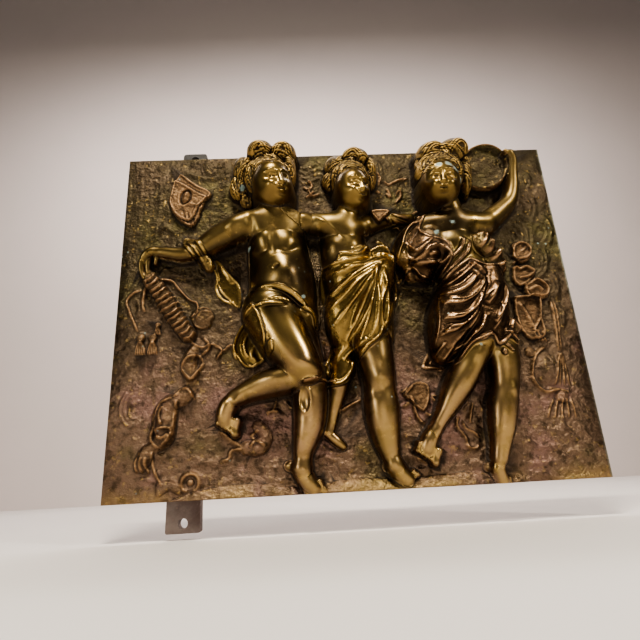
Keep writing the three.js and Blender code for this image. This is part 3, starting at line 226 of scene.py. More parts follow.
def touched(u, v, start, end, reach):  # the part of a window that a straight run can reach
    (ua, va), (ub, vb) = start[:2], end[:2]
    return (slice(*np.searchsorted(v[:, 0], (min(va, vb) - reach, max(va, vb) + reach))),
            slice(*np.searchsorted(u[0], (min(ua, ub) - reach, max(ua, ub) + reach))))


def limb(joints, soft=3.0, zone="skin", flat=1.0):  # a round form through (u, v, height, radius)
    line = spine(joints)
    part, u, v = roundLine(line, line[:, 3].max() + sculpt["apron"])
    best = np.full(rise[part].shape, -1e3)
    for start, end in zip(line, line[1:]):
        box = touched(u, v, start, end, max(start[3], end[3]) + sculpt["apron"])
        t, away, _ = fromRun(u[:, box[1]], v[box[0]], start, end)
        radius = start[3] + t * (end[3] - start[3])
        top = start[2] + t * (end[2] - start[2]) + flat * np.sqrt(np.maximum(radius**2 - away**2, 0))
        best[box] = np.maximum(best[box], top - np.maximum(away - radius, 0) * sculpt["draft"])
    meet(part, best, soft, zone)


def mass(place, size, lean=0, soft=3.0, zone="skin"):  # an egg shape: middle, half sizes, lean
    part, u, v = around(place[0], place[1], max(size[0], size[1]) + sculpt["apron"])
    away = np.hypot(*inOval(u, v, place, size, lean))
    top = place[2] + size[2] * np.sqrt(np.maximum(1 - away**2, 0))
    meet(part, top - np.maximum(away - 1, 0) * np.sqrt(size[0] * size[1]) * sculpt["draft"], soft, zone)


def press(u0, v0, su, sv, depth, lean=0):  # a soft dent, or a swelling where depth is negative
    part, u, v = around(u0, v0, sculpt["dentReach"] * max(su, sv))
    across, along = inOval(u, v, (u0, v0), (su, sv), lean)
    rise[part] -= depth * np.exp(-(across**2 + along**2))


def ridge(points, width, height, taper=0.3, side=0.0, zone=None):
    # a raised line, or a furrow; side makes one flank steeper than the other
    line = curve(points)
    reach = width * sculpt["ridgeReach"]
    part, u, v = roundLine(line, reach)
    best = np.full(rise[part].shape, 1e9)
    where = np.zeros_like(best)
    hand = np.zeros_like(best)
    steps = len(line) - 1
    for n in range(steps):
        box = touched(u, v, line[n], line[n + 1], reach)
        t, away, turn = fromRun(u[:, box[1]], v[box[0]], line[n], line[n + 1])
        near = away < best[box]
        best[box] = np.where(near, away, best[box])
        where[box] = np.where(near, (n + t) / steps, where[box])
        hand[box] = np.where(near, turn, hand[box])
    ends = np.clip(np.minimum(where, 1 - where) / taper, 0, 1) if taper else np.ones_like(where)
    wide = width * 0.6 * (1 + side * hand)
    shape = np.exp(-((best / wide) ** 2)) * np.sqrt(ends)
    shape[best > reach] = 0
    rise[part] += height * shape
    if zone:
        paint(part, np.clip(shape * 1.6 - 0.3, 0, 1), zone)


def band(points, width, height, taper):  # the raised edge of a ribbon
    ridge(points, width, height, taper, 0.3, "trim")


def drape(outline, thick=2.0, hem=3.0, zone="cloth", rim=0.9):  # cloth laid over, with a rolled edge
    line = curve(list(outline) + [outline[0]], 2.0)
    part, u, v = roundLine(line, 4)
    inside = np.zeros(rise[part].shape, bool)
    near = np.full(inside.shape, 1e9)
    for (ua, va), (ub, vb) in zip(line, line[1:]):
        near = np.minimum(near, fromRun(u, v, (ua, va), (ub, vb))[1])
        if va != vb:
            inside ^= ((va > v) != (vb > v)) & (u < (ub - ua) * (v - va) / (vb - va) + ua)
    deep = np.where(inside, near, 0)
    edge = np.clip(deep / hem, 0, 1)
    roll = rim * inside * np.exp(-(((deep - 1.2) / 0.9) ** 2))
    rise[part] += thick * np.sqrt(np.clip(1 - (1 - edge) ** 2, 0, 1)) + roll
    paint(part, np.clip(deep / 0.8, 0, 1), zone)


def folds(lines, width, height, side=0.3, taper=0.3):  # several cloth folds, each a line of places
    for n, line in enumerate(lines):
        wide = width * (0.85 + 0.3 * (n % 2))
        ridge(line, wide, height * (0.88 + 0.22 * np.cos(n * 1.9)), taper, side, "cloth")


def lock(points, radius, strands, lift):  # a wavy lock of hair: a soft roll with fine grooves
    line = curve(points, 2.0)
    ridge(line, radius * 1.5, radius * lift, 0.25, 0.15, "hair")
    way = np.gradient(line, axis=0)
    way /= np.hypot(way[:, 0], way[:, 1])[:, None]
    for n in range(strands):
        shift = (n - (strands - 1) / 2) * radius * 1.7 / strands
        side = np.stack([-way[:, 1], way[:, 0]], 1) * shift
        ridge(line + side, 1.0 * radius / strands, 0.2 * radius, 0.15, 0.2, "hair")


def tresses(u0, v0, reach, lean, count, depth):  # wavy locks that sweep out from the face
    part, u, v = around(u0, v0, reach)
    away = np.hypot(u - u0, v - v0)
    angle = np.arctan2(v - v0, u - u0) - np.radians(lean)
    swing = 0.34 * np.sin(away * 0.40 + 2.2 * np.sin(2 * angle + 1)) + 0.16 * np.sin(away * 0.95 + 4 * angle)
    lump = np.abs(np.cos(count * (angle + swing) / 2)) ** 0.8 - 0.5
    fine = np.cos(count * 3.0 * (angle + swing * 0.9))
    wave = 0.5 * np.cos(away * 0.85 + 3 * np.sin(3 * angle))
    fade = np.clip((reach - away) / 4, 0, 1) * zones["hair"][part]
    rise[part] += fade * depth * (1.5 * lump + 0.30 * fine + 0.45 * wave)


# a calm child's face on an egg-shaped head: places are angles sideways and up from the head's middle
def face(place, size, turn, lean):
    u, v, h = place
    su, sv, sh = size
    c, s = turning(lean)
    k = su / 15.0

    def spot(side, up, out=1.0):
        a, b = np.radians(side + turn), np.radians(up)
        du, dv = su * out * np.sin(a) * np.cos(b), sv * out * np.sin(b)
        return u + du * c - dv * s, v + du * s + dv * c, h + sh * out * np.cos(a) * np.cos(b)

    def swell(side, up, wide, tall, high):
        at = spot(side, up)
        press(at[0], at[1], wide * k, tall * k, -high * k, lean)

    mass(place, size, lean, 2)
    part, uu, vv = window(u - su, v - sv, u + su, v + sv)
    away = np.hypot(*inOval(uu, vv, place, size, lean))
    paint(part, np.clip((1 - away) * 8, 0, 1), "skin")
    swell(0, 34, 9, 6, 1.2)  # forehead
    for side in (-1, 1):
        squash = max(0.4, np.cos(np.radians(side * 22 + turn)))
        swell(side * 31, -24, 5.0 * squash, 4.8, 2.4)  # cheek
        eye = spot(side * 23, -2)
        press(eye[0], eye[1], 4.6 * k * squash, 3.0 * k, 3.0 * k, lean)
        mass((eye[0], eye[1] - 0.3 * k, eye[2] - 5.0 * k), (3.0 * k * squash, 2.1 * k, 3.4 * k), lean,
            0.5)
        wide = 3.7 * k * squash
        ridge(arc(eye[0], eye[1] - 0.8 * k, wide, 2.8 * k, 170, 10, lean), 1.3 * k, 1.3 * k, 0.2)
        ridge(arc(eye[0], eye[1] + 0.4 * k, wide * 0.9, 2.4 * k, 200, 340, lean), 1.0 * k, 0.7 * k,
            0.25)
        brow = spot(side * 23, 13)
        ridge(arc(brow[0], brow[1] - 2.4 * k, 4.8 * k * squash, 2.6 * k, 155, 25, lean), 2.2 * k,
            1.1 * k, 0.35)
    bridge, mid, tip = spot(0, 6), spot(0, -8, 1.04), spot(0, -18, 1.10)
    limb([(bridge[0], bridge[1], bridge[2] - 2.2 * k, 1.9 * k),
        (mid[0], mid[1], mid[2] - 1.6 * k, 1.8 * k), (tip[0], tip[1], tip[2] - 1.4 * k, 2.5 * k)], 1.8)
    for side in (-1, 1):
        wing = spot(side * 9, -20, 1.03)
        mass((wing[0], wing[1], wing[2] - 1.2 * k), (1.5 * k, 1.3 * k, 1.8 * k), lean, 0.8)  # nostril
    under = spot(0, -25)
    press(under[0], under[1], 2.6 * k, 1.0 * k, 1.0 * k, lean)
    mouth = spot(0, -35)
    press(mouth[0], mouth[1], 5.2 * k, 3.4 * k, -1.4 * k, lean)
    ridge(arc(mouth[0], mouth[1] - 0.5 * k, 3.3 * k, 1.6 * k, 160, 20, lean), 1.4 * k, 1.2 * k, 0.3)
    ridge(arc(mouth[0], mouth[1] + 0.7 * k, 2.8 * k, 3.0 * k, 210, 330, lean), 1.7 * k, 1.5 * k, 0.3)
    ridge(arc(mouth[0], mouth[1] + 1.2 * k, 3.6 * k, 1.5 * k, 200, 340, lean), 0.8 * k, -1.7 * k, 0.2)
    below = spot(0, -48)
    press(below[0], below[1], 3.6 * k, 1.2 * k, 1.1 * k, lean)
    swell(0, -60, 4.4, 3.0, 1.9)  # chin


def toes(start, end, height, size, way, count=5):  # a row of toes from the big one on, pointing along way
    for n, share in zip(range(count), (1.25, 0.95, 0.9, 0.85, 0.8)):
        t = n / (count - 1)
        wide = size * share
        reach = size * (1.5 - 0.15 * n)
        u = start[0] + t * (end[0] - start[0])
        v = start[1] + t * (end[1] - start[1])
        limb([(u - way[0] * reach, v - way[1] * reach, height - wide * 0.5, wide * 0.85),
            (u, v, height - wide * 0.8, wide * 0.75),
            (u + way[0] * wide, v + way[1] * wide, height - wide, wide)], 0.5)


def tassel(u, v, size, height=3.0):
    mass((u, v, 0.4), (size * 0.4, size * 0.36, height), 0, 1.2, "trim")
    ridge([(u - size * 0.32, v - size * 0.3), (u + size * 0.32, v - size * 0.3)], 1.4, height * 0.4,
        0.1, 0, "trim")
    for n in range(5):
        lean = (n - 2) * 0.2
        ridge([(u + lean * size * 0.3, v - size * 0.3), (u + lean * size * 0.8, v - size * 0.9),
            (u + lean * size, v - size * 1.6)], size * 0.17, height * 0.7, 0.15, 0, "trim")


def leaves(u, v, size, count):  # a bough of foliage, as nested lobes with lifted edges
    for n in range(count):
        t = (n + 1) / count
        ridge(arc(u, v, size * t, 1.35 * size * t, -62, 88, -8 * n), 1.4 + 1.6 * t, 0.7 + 0.7 * t, 0.3,
            0.35)
    press(u + size * 0.6, v + size * 0.4, size * 0.7, size, -1.3)


def tambourine(u0, v0, radius, rim):  # a shallow frame drum, its rim standing up most at the upper right
    part, u, v = around(u0, v0, radius + 6)
    away = np.hypot(u - u0, v - v0)
    lift = np.clip(0.5 + ((u - u0) * 0.62 + (v - v0) * 0.78) / (2 * radius), 0, 1)
    disc = rim * (0.30 + 0.32 * lift) + 0.8 * np.cos(np.minimum(away / radius, 1) * 2.4)
    hoop = (1.2 + 3.6 * lift) * np.exp(-(((away - radius + 1.3) / 1.5) ** 2))
    new = disc + hoop - np.maximum(away - radius, 0) * sculpt["draft"]
    old = rise[part]
    rise[part] = np.maximum(old, new)
    paint(part, np.clip(new - old, 0, 1), "trim")
    for n in range(8):
        a = np.radians(n * 45 + 20)
        at = (u0 + 0.8 * radius * np.cos(a), v0 + 0.8 * radius * np.sin(a))
        press(at[0], at[1], 1.5, 1.5, -0.9)
        press(at[0], at[1], 0.6, 0.6, 0.7)


def rocks(rng, banks=46):  # the ground, as short wandering chased banks, with three mounds
    for n in range(banks):
        v = 2 + 38 * (n / banks) ** 1.1 + rng.uniform(-2, 2)
        u = rng.uniform(10, 320)
        size = rng.uniform(12, 34) * (1.1 - 0.5 * n / banks)
        ridge([(u, v), (u + size * 0.35, v + rng.uniform(-1, 3)),
            (u + size * 0.7, v + rng.uniform(-2, 2)), (u + size, v - 1)], rng.uniform(2.2, 4.4),
            rng.uniform(0.6, 1.5), 0.4, 0.35)
    mass((170, -7, 0), (46, 15, 7), 0, 3, None)
    mass((92, -9, 0), (56, 17, 5), 0, 3, None)
    mass((236, -10, 0), (56, 18, 5), 0, 3, None)


def treeTrunk(rng):
    for n in range(6):
        ridge([(5.3 + 4.05 * n, 261.5 - 0.14 * n), (7.6 + 3.66 * n, 240.6 - 0.13 * n),
            (8 + 3.76 * n, 222.1 - 0.14 * n), (6.9 + 3.52 * n, 193 - 0.14 * n)], 3.4,
            0.6 + 0.5 * (n % 2), 0.2, 0.3)
    for n in range(34):
        u, v = rng.uniform(6, 20), 196 + 1.9 * n + rng.uniform(-1, 1)
        ridge([(u, v), (u + 4, v + rng.uniform(-1.6, 1.6)), (u + 7, v + rng.uniform(-2, 1))], 1.2,
            rng.uniform(0.2, 0.55), 0.4)
    ridge([(32, 244.4), (30.5, 225.8), (35.1, 212.1), (28.1, 197.3), (20.9, 188.1)], 5, 1.4, 0.2, 0.4)
    ridge([(42.1, 193.3), (31.8, 200.7), (28.3, 193.8)], 4, 1.2, 0.2, 0.4)


def foliage():
    for u, v, size, count in ((303.7, 181.6, 15, 4), (315.1, 208.3, 11, 3), (323.9, 186.1, 11, 3),
            (314, 160.3, 12, 4), (321.8, 139.9, 9, 3), (328.7, 219, 8, 3), (319.6, 232.7, 7, 2),
            (321.8, 114, 8, 3)):
        leaves(u, v, size, count)


def groundCurls():  # shallow curls behind the heads
    ridge([(61.4, 254.7), (67.2, 248.8), (72.8, 254.3), (73.5, 261.1)], 3.4, 1.6, 0.2, 0.3)
    mass((66.3, 256.5, -0.5), (7, 6.5, 2.4), 0, 2, None)
    ridge([(45.4, 251.5), (57.6, 246.3), (69.7, 244.9), (77.7, 252.2)], 3.0, 1.3, 0.2, 0.3)
    ridge([(75.1, 262), (77, 242.7), (75.7, 219.6)], 4.0, 1.2, 0.2, 0.3)
    for n in range(4):
        ridge([(135.8 - 0.14 * n, 255 - 3.84 * n), (143 - 0.20 * n, 251.8 - 4.76 * n),
            (153.9 - 0.24 * n, 256.3 - 4.80 * n), (160.4 - 0.32 * n, 254.1 - 5.73 * n)], 2.2, 0.9, 0.25,
            0.3)
    for n in range(3):
        ridge([(198.9 + 2.50 * n, 257.7 - 0.09 * n), (199.5 + 3.30 * n, 245.9 - 0.12 * n),
            (195.1 + 4.90 * n, 232.7 - 0.18 * n)], 2.4, 1.1, 0.25, 0.3)


def landscape():
    rng = np.random.default_rng(11)
    rocks(rng)
    treeTrunk(rng)
    foliage()
    groundCurls()


def wing():
    drape([(42.2, 249.7), (49.7, 242.8), (57.1, 236.9), (65.1, 232.8), (67.6, 228.1), (63, 221.9),
        (60, 213.8), (57.1, 205), (51.9, 199.9), (43.1, 205.5), (36.6, 213.8), (33.8, 223),
        (35.8, 232.1), (37.7, 241.3)], 3.4, 4.0, "trim", 1.0)
    drape([(36.9, 243.2), (45.8, 238.2), (58, 229.4), (64.5, 225.5), (58.4, 217.5), (52.5, 205.2),
        (43.1, 207.3), (36.4, 216.5), (34.5, 225.7)], 1.4, 2.4, "trim", 0.7)
    ridge([(43.1, 247.7), (51.3, 240.8), (64.3, 233.8)], 2.6, 1.4, 0.2, 0.3)
    ridge(arc(47.6, 225.7, 3.6, 6.2, 0, 360, -14), 1.8, -1.9, 0)
    press(47.6, 225.7, 2.0, 4.0, -1.0, -14)
    ridge([(45, 217.1), (50.4, 219.6), (56.8, 217.5), (61.6, 211.9)], 2.0, 1.0, 0.2, 0.3)
    for n in range(4):
        ridge([(45.9 + 3.94 * n, 214.4 - 1.05 * n), (47.7 + 3.14 * n, 208 - 1.01 * n),
            (50.2 + 2.33 * n, 202.6 - 0.09 * n)], 1.6, -0.7, 0.3)


def garland():  # a pleated swag with tassels, hanging from the hand on the left
    line = curve([(22.7, 157.9), (30.7, 147.1), (37.1, 136.5), (43.4, 126.1), (54, 111.1)], 1.0)
    limb([(p[0], p[1], -1.2, 6.4) for p in line[::6]], 2, "trim")
    count = 13
    for n in range(count):
        at = line[int(n * (len(line) - 2) / (count - 1))]
        way = line[int(n * (len(line) - 2) / (count - 1)) + 1] - at
        way = way / np.hypot(*way)
        side = np.array((-way[1], way[0])) * (5.0 + 3.0 * np.sin(np.pi * n / (count - 1)))
        ridge([at - side, at + way * 2.6, at + side], 1.7, 2.6, 0.12, 0.35, "trim")
    band([(27.9, 157.7), (39.2, 155.6), (45.4, 148.1), (53.1, 139.7), (58.3, 137.1), (59.2, 129.3),
        (53.5, 125.6)], 1.6, 2.4, 0.12)
    mass((63.2, 124.9, -1), (8, 9, 5), 0, 2, "trim")
    ridge(arc(63.2, 124.9, 8, 8, 20, 300), 2.0, 1.4, 0.2, 0.3)
    ridge([(57.9, 123.9), (62.9, 129.9), (69.4, 129.6)], 1.8, 1.2, 0.2, 0.3)
    for points in ([(51.2, 110.5), (61.4, 103.3), (71.3, 105.8)],
            [(64, 110.7), (68.5, 103), (61.6, 95.9)], [(69.9, 105.9), (77.1, 100.4), (72.9, 93.2)],
            [(77.1, 98.9), (84.2, 103.7), (87.1, 92.5)]):
        band(points, 2.2, 2.4, 0.2)
    tassel(19, 112, 8)
    tassel(27.6, 111.6, 8)
    tassel(30.6, 121.3, 5)
    band([(21.4, 154.7), (19.6, 147.6), (18.8, 138.1), (20.6, 131.7)], 2.6, 2.4, 0.15)
    band([(17.3, 149.3), (10.9, 146.3), (7, 140.2), (9.7, 132.2), (13.2, 124.4), (16.6, 116.6)], 2.0,
        2.2, 0.12)
    ridge([(13.3, 143.1), (16.1, 135.1), (15.1, 127.3)], 2.2, 1.2, 0.2, 0.3)
    ridge([(28.7, 157.7), (33.5, 164.9), (40.9, 166.2), (38.5, 171.3)], 2.4, 1.4, 0.2, 0.3)
    ridge([(31.9, 166.6), (37.4, 161.4)], 3, 1.6, 0.3)


def fallingRibbon():  # the ribbon that falls at the lower left
    limb([(56.8, 100.9, -1, 4.4), (53.9, 90.5, -1, 6), (56.5, 78.1, -3, 5.4), (51.8, 67.5, -1, 5),
        (41.4, 63, -1, 6.6), (39.4, 52.2, -1, 7.4), (39.2, 41.7, -1, 7), (34.9, 35.6, -1, 4)], 2.5,
        "trim")
    for line in ([(48.4, 88.5), (53.1, 94.8), (60.1, 96.7), (64.5, 92.1)],
            [(48.4, 88.5), (52.8, 82.6), (57.1, 80.9), (64.5, 92.1)],
            [(44.4, 67.5), (49.7, 73.5), (55.3, 72.5), (58.9, 65.4)],
            [(44.4, 67.5), (36.4, 63.7), (32, 56.4), (31.8, 48.4), (30.3, 39.9), (36.6, 33.7)],
            [(47.2, 66), (46.9, 57.8), (45.9, 48.4), (43.6, 40.5), (36.6, 33.7)],
            [(32, 45.7), (38.6, 47.4), (46, 46.3)], [(37.9, 61.6), (36.1, 55.6), (38.5, 48.7)],
            [(34.2, 42.3), (38.9, 40.7), (42.8, 43.2)]):
        band(line, 2.2, 2.6, 0.14)
    press(40.9, 45.8, 5, 2.4, 1.6)
    press(56.8, 75.1, 3, 4, 1.4)
    limb([(32.4, 35.1, -1, 4.6), (27.1, 29.5, -1, 5.6), (24.3, 23.4, -2, 4.6)], 2.5, "trim")
    for n in range(3):
        ridge([(21.7 + 3.30 * n, 29.3 - 0.17 * n), (20.7 + 3.55 * n, 24.2 - 0.18 * n),
            (22.4 + 3.92 * n, 18.4 - 0.20 * n)], 2.0, 1.8, 0.15, 0, "trim")
    band([(32.1, 32), (32.6, 23), (35.6, 15.9), (39.8, 10)], 2.0, 2.0, 0.15)


def groundOrnaments():  # stems, a rosette and nested arcs on the ground
    band([(75.7, 44.2), (81.9, 39.2), (87.3, 35), (92, 30.9)], 3.6, 2.6, 0.15)
    band([(76, 23.9), (82, 24.9), (84.6, 30.6), (94, 30.1)], 2.6, 2.4, 0.15)
    limb([(94.2, 31.3, -1, 5), (102.9, 31.4, -1, 5.6), (107, 38.5, -1, 5), (102.3, 45.4, -1, 4)], 2.5,
        "trim")
    ridge([(96.6, 31.3), (100.7, 35.6), (107.4, 32)], 2, 2.0, 0.2, 0, "trim")
    ridge([(100.7, 35.6), (98, 39.1), (102.8, 42.8)], 2, 1.8, 0.2, 0, "trim")
    ridge([(107.8, 54.1), (112.6, 55.2), (116.7, 55)], 2.6, 2.4, 0.2, 0, "trim")
    ridge([(114.3, 67.6), (114.8, 61.3), (112.6, 55.2)], 1.6, 1.8, 0.2, 0, "trim")
    for n in range(3):
        ridge([(117.7 + 2.78 * n, 65.3 - 0.13 * n), (121.7 + 2.08 * n, 59.6 - 0.10 * n),
            (125.7 + 0.69 * n, 55.2)], 2.4, 1.6, 0.2, 0.3)
    ridge(arc(57.3, 11, 5.6, 5.6, -80, 270), 2.6, 2.4, 0.2, 0.2, "trim")
    mass((57.3, 11, -0.6), (2.4, 2.4, 2.6), 0, 1, "trim")
    for n in range(5):
        ridge([(51, 4.5 + 1.24 * n), (43.1 - 0.06 * n, 7.4 + 1.24 * n),
            (35 - 0.10 * n, 2.9 + 1.85 * n)], 2.0, 1.7, 0.25, 0.3)
    for n in range(3):
        ridge(arc(17.8, 62.1, 4 + 3 * n, 8 + 2.4 * n, 60, 300), 2.0, 1.3)


def rightStreamers():  # ribbons and tassels beyond the right child
    band([(300, 168.2), (301.9, 174.2), (307.9, 176.5), (311.4, 173.8), (313.2, 166.8), (310.1, 162.6),
        (302.7, 161.2), (299.6, 157.1)], 2.0, 2.6, 0.1)
    drape([(299.4, 164.8), (301.7, 173.3), (307.9, 176.5), (314.1, 171), (313, 161.6), (303.8, 158.6)],
        3.0, 2.4, "trim", 0.8)
    band([(299.6, 157.1), (302.1, 153.6), (308.6, 155), (313.3, 150.6), (307.8, 146.7), (301.5, 146.1)],
        2.0, 2.8, 0.1)
    drape([(297.7, 155.5), (307.6, 157.6), (316.1, 153), (311.4, 144.9), (301.8, 139.5),
        (296.6, 144.7)], 3.0, 2.4, "trim", 0.8)
    band([(311.5, 145.7), (317.8, 142.1), (321.3, 136.2), (318.8, 131.4), (314, 130.8)], 2.0, 2.8, 0.1)
    drape([(304.4, 141), (314.6, 145.5), (323.3, 138.6), (320.7, 129.7), (310.5, 128.5),
        (304.6, 133.6)], 3.0, 2.4, "trim", 0.8)
    ridge([(306.6, 136), (313.3, 139), (318.1, 135.5)], 2.4, 1.6, 0.2, 0.3)
    drape([(294.2, 131.7), (305, 132), (312.5, 130.9), (314.4, 125.1), (312.2, 114.1), (312.4, 100.1),
        (301.4, 97.6), (295.5, 105.5), (293.6, 119.7)], 3.4, 2.0, "trim", 0.6)
    band([(294.8, 130.8), (304.9, 131.2), (310.8, 130.1), (313.1, 126), (311.5, 114.2), (312, 101.7),
        (314.4, 98.5)], 2.2, 2.8, 0.1)
    band([(311, 115.7), (308.3, 109.6), (305, 104.3), (308.7, 104.1)], 1.8, 2.0, 0.15)
    press(299.5, 115.6, 7, 13, 2.2)
    ridge([(297.3, 127.5), (302.3, 117.7), (304.7, 106.6)], 3, 1.8, 0.2, 0.3)
    for n in range(3):
        band([(304.1 + 2.98 * n, 103.6 - 0.13 * n), (304.9 + 2.97 * n, 99.7 - 0.14 * n),
            (308.7 + 2.96 * n, 96.5 - 0.14 * n)], 1.8, 1.8, 0.2)
    mass((299.7, 88.6, -0.5), (4, 4, 3), 0, 1, "trim")
    mass((309.1, 76.2, -2), (11, 13, 6), 10, 2, None)
    band([(312.4, 92.5), (303.8, 86.9), (299.2, 78.2), (298.6, 68), (305, 59.8), (316, 60.7)], 2.4, 2.6,
        0.1)
    ridge([(322.7, 128), (322.4, 108.2), (321, 87.6)], 2.0, 1.8, 0.1, 0, "trim")
    ridge([(325, 127.9), (324.6, 108.1), (323.2, 87.5)], 1.4, 1.2, 0.1, 0, "trim")
    for n in range(4):
        ridge([(321 + 0.74 * n, 87.6), (317.1 + 2.18 * n, 75.9 - 0.10 * n),
            (312.9 + 3.60 * n, 63 - 0.17 * n)], 1.6, 1.4, 0.15, 0.2, "trim")
    band([(307.6, 61.8), (316, 60.7), (322.7, 58.2)], 2.4, 1.6, 0.1)
    mass((316.4, 55.7, -0.4), (5, 4.6, 3.2), 0, 1, "trim")
    for n in range(5):
        ridge([(310.4 + 2.85 * n, 54.6 - 0.14 * n), (306.1 + 4.25 * n, 47.8 - 0.21 * n),
            (303.3 + 4.93 * n, 41 - 0.24 * n)], 1.6, 1.6, 0.15, 0, "trim")
    ridge([(313.7, 43.2), (314, 35), (318.1, 30.7)], 2.6, 1.6, 0.2, 0.3)


def middleStreamers():  # between the second and third child
    band([(201.8, 63.4), (207.8, 66.6), (211.5, 67.9)], 2.2, 2.0, 0.2)
    ridge([(223.4, 60.2), (226.4, 55.9), (229.6, 53.6), (230.4, 59.2), (223.4, 60.2)], 1.8, 2.4, 0.1,
        0.2, "trim")
    band([(209.9, 59.5), (211, 51.1), (213.7, 44.1), (217.5, 41.1)], 2.4, 2.2, 0.2)
    band([(217.8, 49.3), (221.8, 47.1), (224.2, 49.7)], 2.0, 2.0, 0.2)
    band([(202.2, 53.6), (206.7, 56.1), (210, 60.9)], 2.6, 1.8, 0.2)
    drape([(203.1, 61.9), (212.6, 70.7), (222.3, 68.8), (222.5, 58.8), (217.1, 49.4), (209.4, 55.3)],
        1.6, 2, "trim", 0.8)
    band([(205.5, 27), (207, 22.4), (211.3, 18.2), (217.7, 14.7)], 2.4, 2.4, 0.15)
    band([(252.4, 54.6), (250, 47.8), (248.4, 42.3), (249.5, 40.2)], 2.0, 2.4, 0.15)
    band([(241.3, 46.1), (238.9, 39.4), (241.7, 34.5), (243.9, 30.4), (244.4, 25.1), (248.3, 23.5),
        (252.8, 25.3)], 2.2, 2.2, 0.12)
    band([(242.9, 42.6), (244.8, 37.1), (250, 34.1), (253.5, 29.9)], 2.0, 1.8, 0.2)
    ridge([(256.7, 54.4), (259.5, 45.2), (260.6, 34.9), (258.1, 24.4)], 2.4, 1.4, 0.2, 0.3)
    ridge([(246.8, 59.8), (248.8, 54.1), (245.1, 48)], 2.2, 1.6, 0.2, 0.3)


def stickAndLoops():  # left of the second child's leg
    band([(154.5, 49.7), (158.8, 52.9), (166.1, 56.7), (174.7, 60.5)], 2.2, 2.8, 0.12)
    band([(147.2, 109.2), (152.4, 111.2), (157.3, 107.2), (157.7, 101.9), (153.2, 99.1), (149, 102.3)],
        2.0, 2.6, 0.12)
    band([(150.6, 106), (154.1, 103.5), (152.5, 99.9)], 1.8, 1.8, 0.2)
    for n in range(3):
        ridge([(145.4 + 2.14 * n, 88.3 - 0.10 * n), (148 + 2.13 * n, 83.1 - 0.10 * n),
            (150.4 + 1.41 * n, 76.5 - 0.07 * n)], 2.4, 1.8, 0.2, 0.3)
    ridge([(159.4, 95.1), (161.2, 89.1), (165.1, 83)], 2.4, 1.6, 0.2, 0.3)


def backgroundKnots():  # between the heads
    for line in ([(140.7, 234.7), (144.6, 230.8), (147.5, 225.1), (154.1, 227.7)],
            [(141.8, 223.5), (146.8, 227), (148.6, 230.7)],
            [(145, 240.2), (148, 234.5), (144.6, 230.8)],
            [(207, 238), (210, 234.1), (218.5, 237.6), (227, 239.2)],
            [(207.6, 226.6), (210.4, 221.8), (208, 230.4)],
            [(214.5, 222.6), (218.4, 228.1), (219.4, 222.4), (213.9, 216.1)],
            [(229.2, 237.2), (232.8, 232.3), (238.4, 231.1)], [(199.6, 228.8), (202.6, 225.9)],
            [(201.2, 245.9), (203.9, 240), (201.6, 232.5)]):
        band(line, 2.2, 1.7, 0.2)


def leftStandingLeg():
    limb([(131.9, 101, 4, 15), (137.2, 79.6, 6, 12.6), (138.5, 64.6, 6, 12), (137.8, 49.5, 6, 11),
        (136.1, 39.9, 6, 9.6), (133.4, 30.6, 6, 7.2), (132.1, 23.8, 5, 6.2), (131.8, 16.4, 5, 6.4)], 4)
    press(138.6, 66.8, 6, 4, -0.9)
    mass((123.9, 18.2, 1.2), (4.8, 4, 4.4), 0, 4)
    limb([(129.9, 16.5, 4, 6.4), (134.1, 8.8, 4, 6.2), (138.4, 3.7, 3.4, 5.2)], 3)
    toes((143.7, 4.6), (133.1, 1.5), 6, 2.1, (0.45, -0.9))


def leftBody():
    limb([(117.5, 194.6, 1, 21), (119.4, 176.9, 1.2, 23), (121.2, 158.6, 0.5, 25),
        (122.9, 141.5, -0.5, 26), (123.6, 119.4, -2, 26)], 11, flat=0.92)
    limb([(90.7, 191.3, 9, 11.4), (102.8, 195, 10, 12), (119.1, 195.8, 9, 12), (136.9, 194.2, 8, 9.6)],
        12)
    press(106.4, 180.2, 10, 8, -3.0)
    press(129.3, 176.8, 9, 8, -2.4)
    press(126.4, 149.3, 14, 13, -4.8)
    press(108.6, 132.9, 12, 8, -1.6)
    press(133.4, 134.8, 9, 8, -1.8)
    press(101.6, 197.8, 9, 5, -1.2)
    press(99.9, 158.8, 7, 8, 2.6)
    press(144, 169.2, 5, 8, 1.6)
    press(118.2, 153.3, 1.7, 1.4, 2.4)
    ridge([(115.9, 187.1), (116.3, 175.7), (116.9, 163.6)], 5, -1.6, 0.4)
    ridge([(97.1, 175.7), (106.3, 168.2), (114.9, 169.2)], 4, -1.5, 0.4)
    ridge([(119.2, 168.2), (127.5, 165.8), (136.2, 172.5)], 4, -1.4, 0.4)
    ridge([(97.2, 132), (108.7, 136.6), (120.4, 134.2), (130.4, 127.6), (140.3, 119.8)], 2.6, -2.8,
        0.15)
    ridge([(108.6, 126.7), (118.2, 129.2), (128.3, 126.9)], 2.8, 2.2, 0.3, 0.3, "cloth")
    ridge([(104.6, 139.1), (117.8, 138.4), (129.2, 133.5), (139.8, 124.2)], 3.4, 1.6, 0.2, 0.2, "cloth")


def groundBetween():  # the ground stands higher between the first two children
    limb([(146.4, 185.7, -3, 9), (149.9, 149.7, -3, 11), (153.2, 114.5, -3, 10), (154.4, 96.4, -4, 8)],
        5, None)


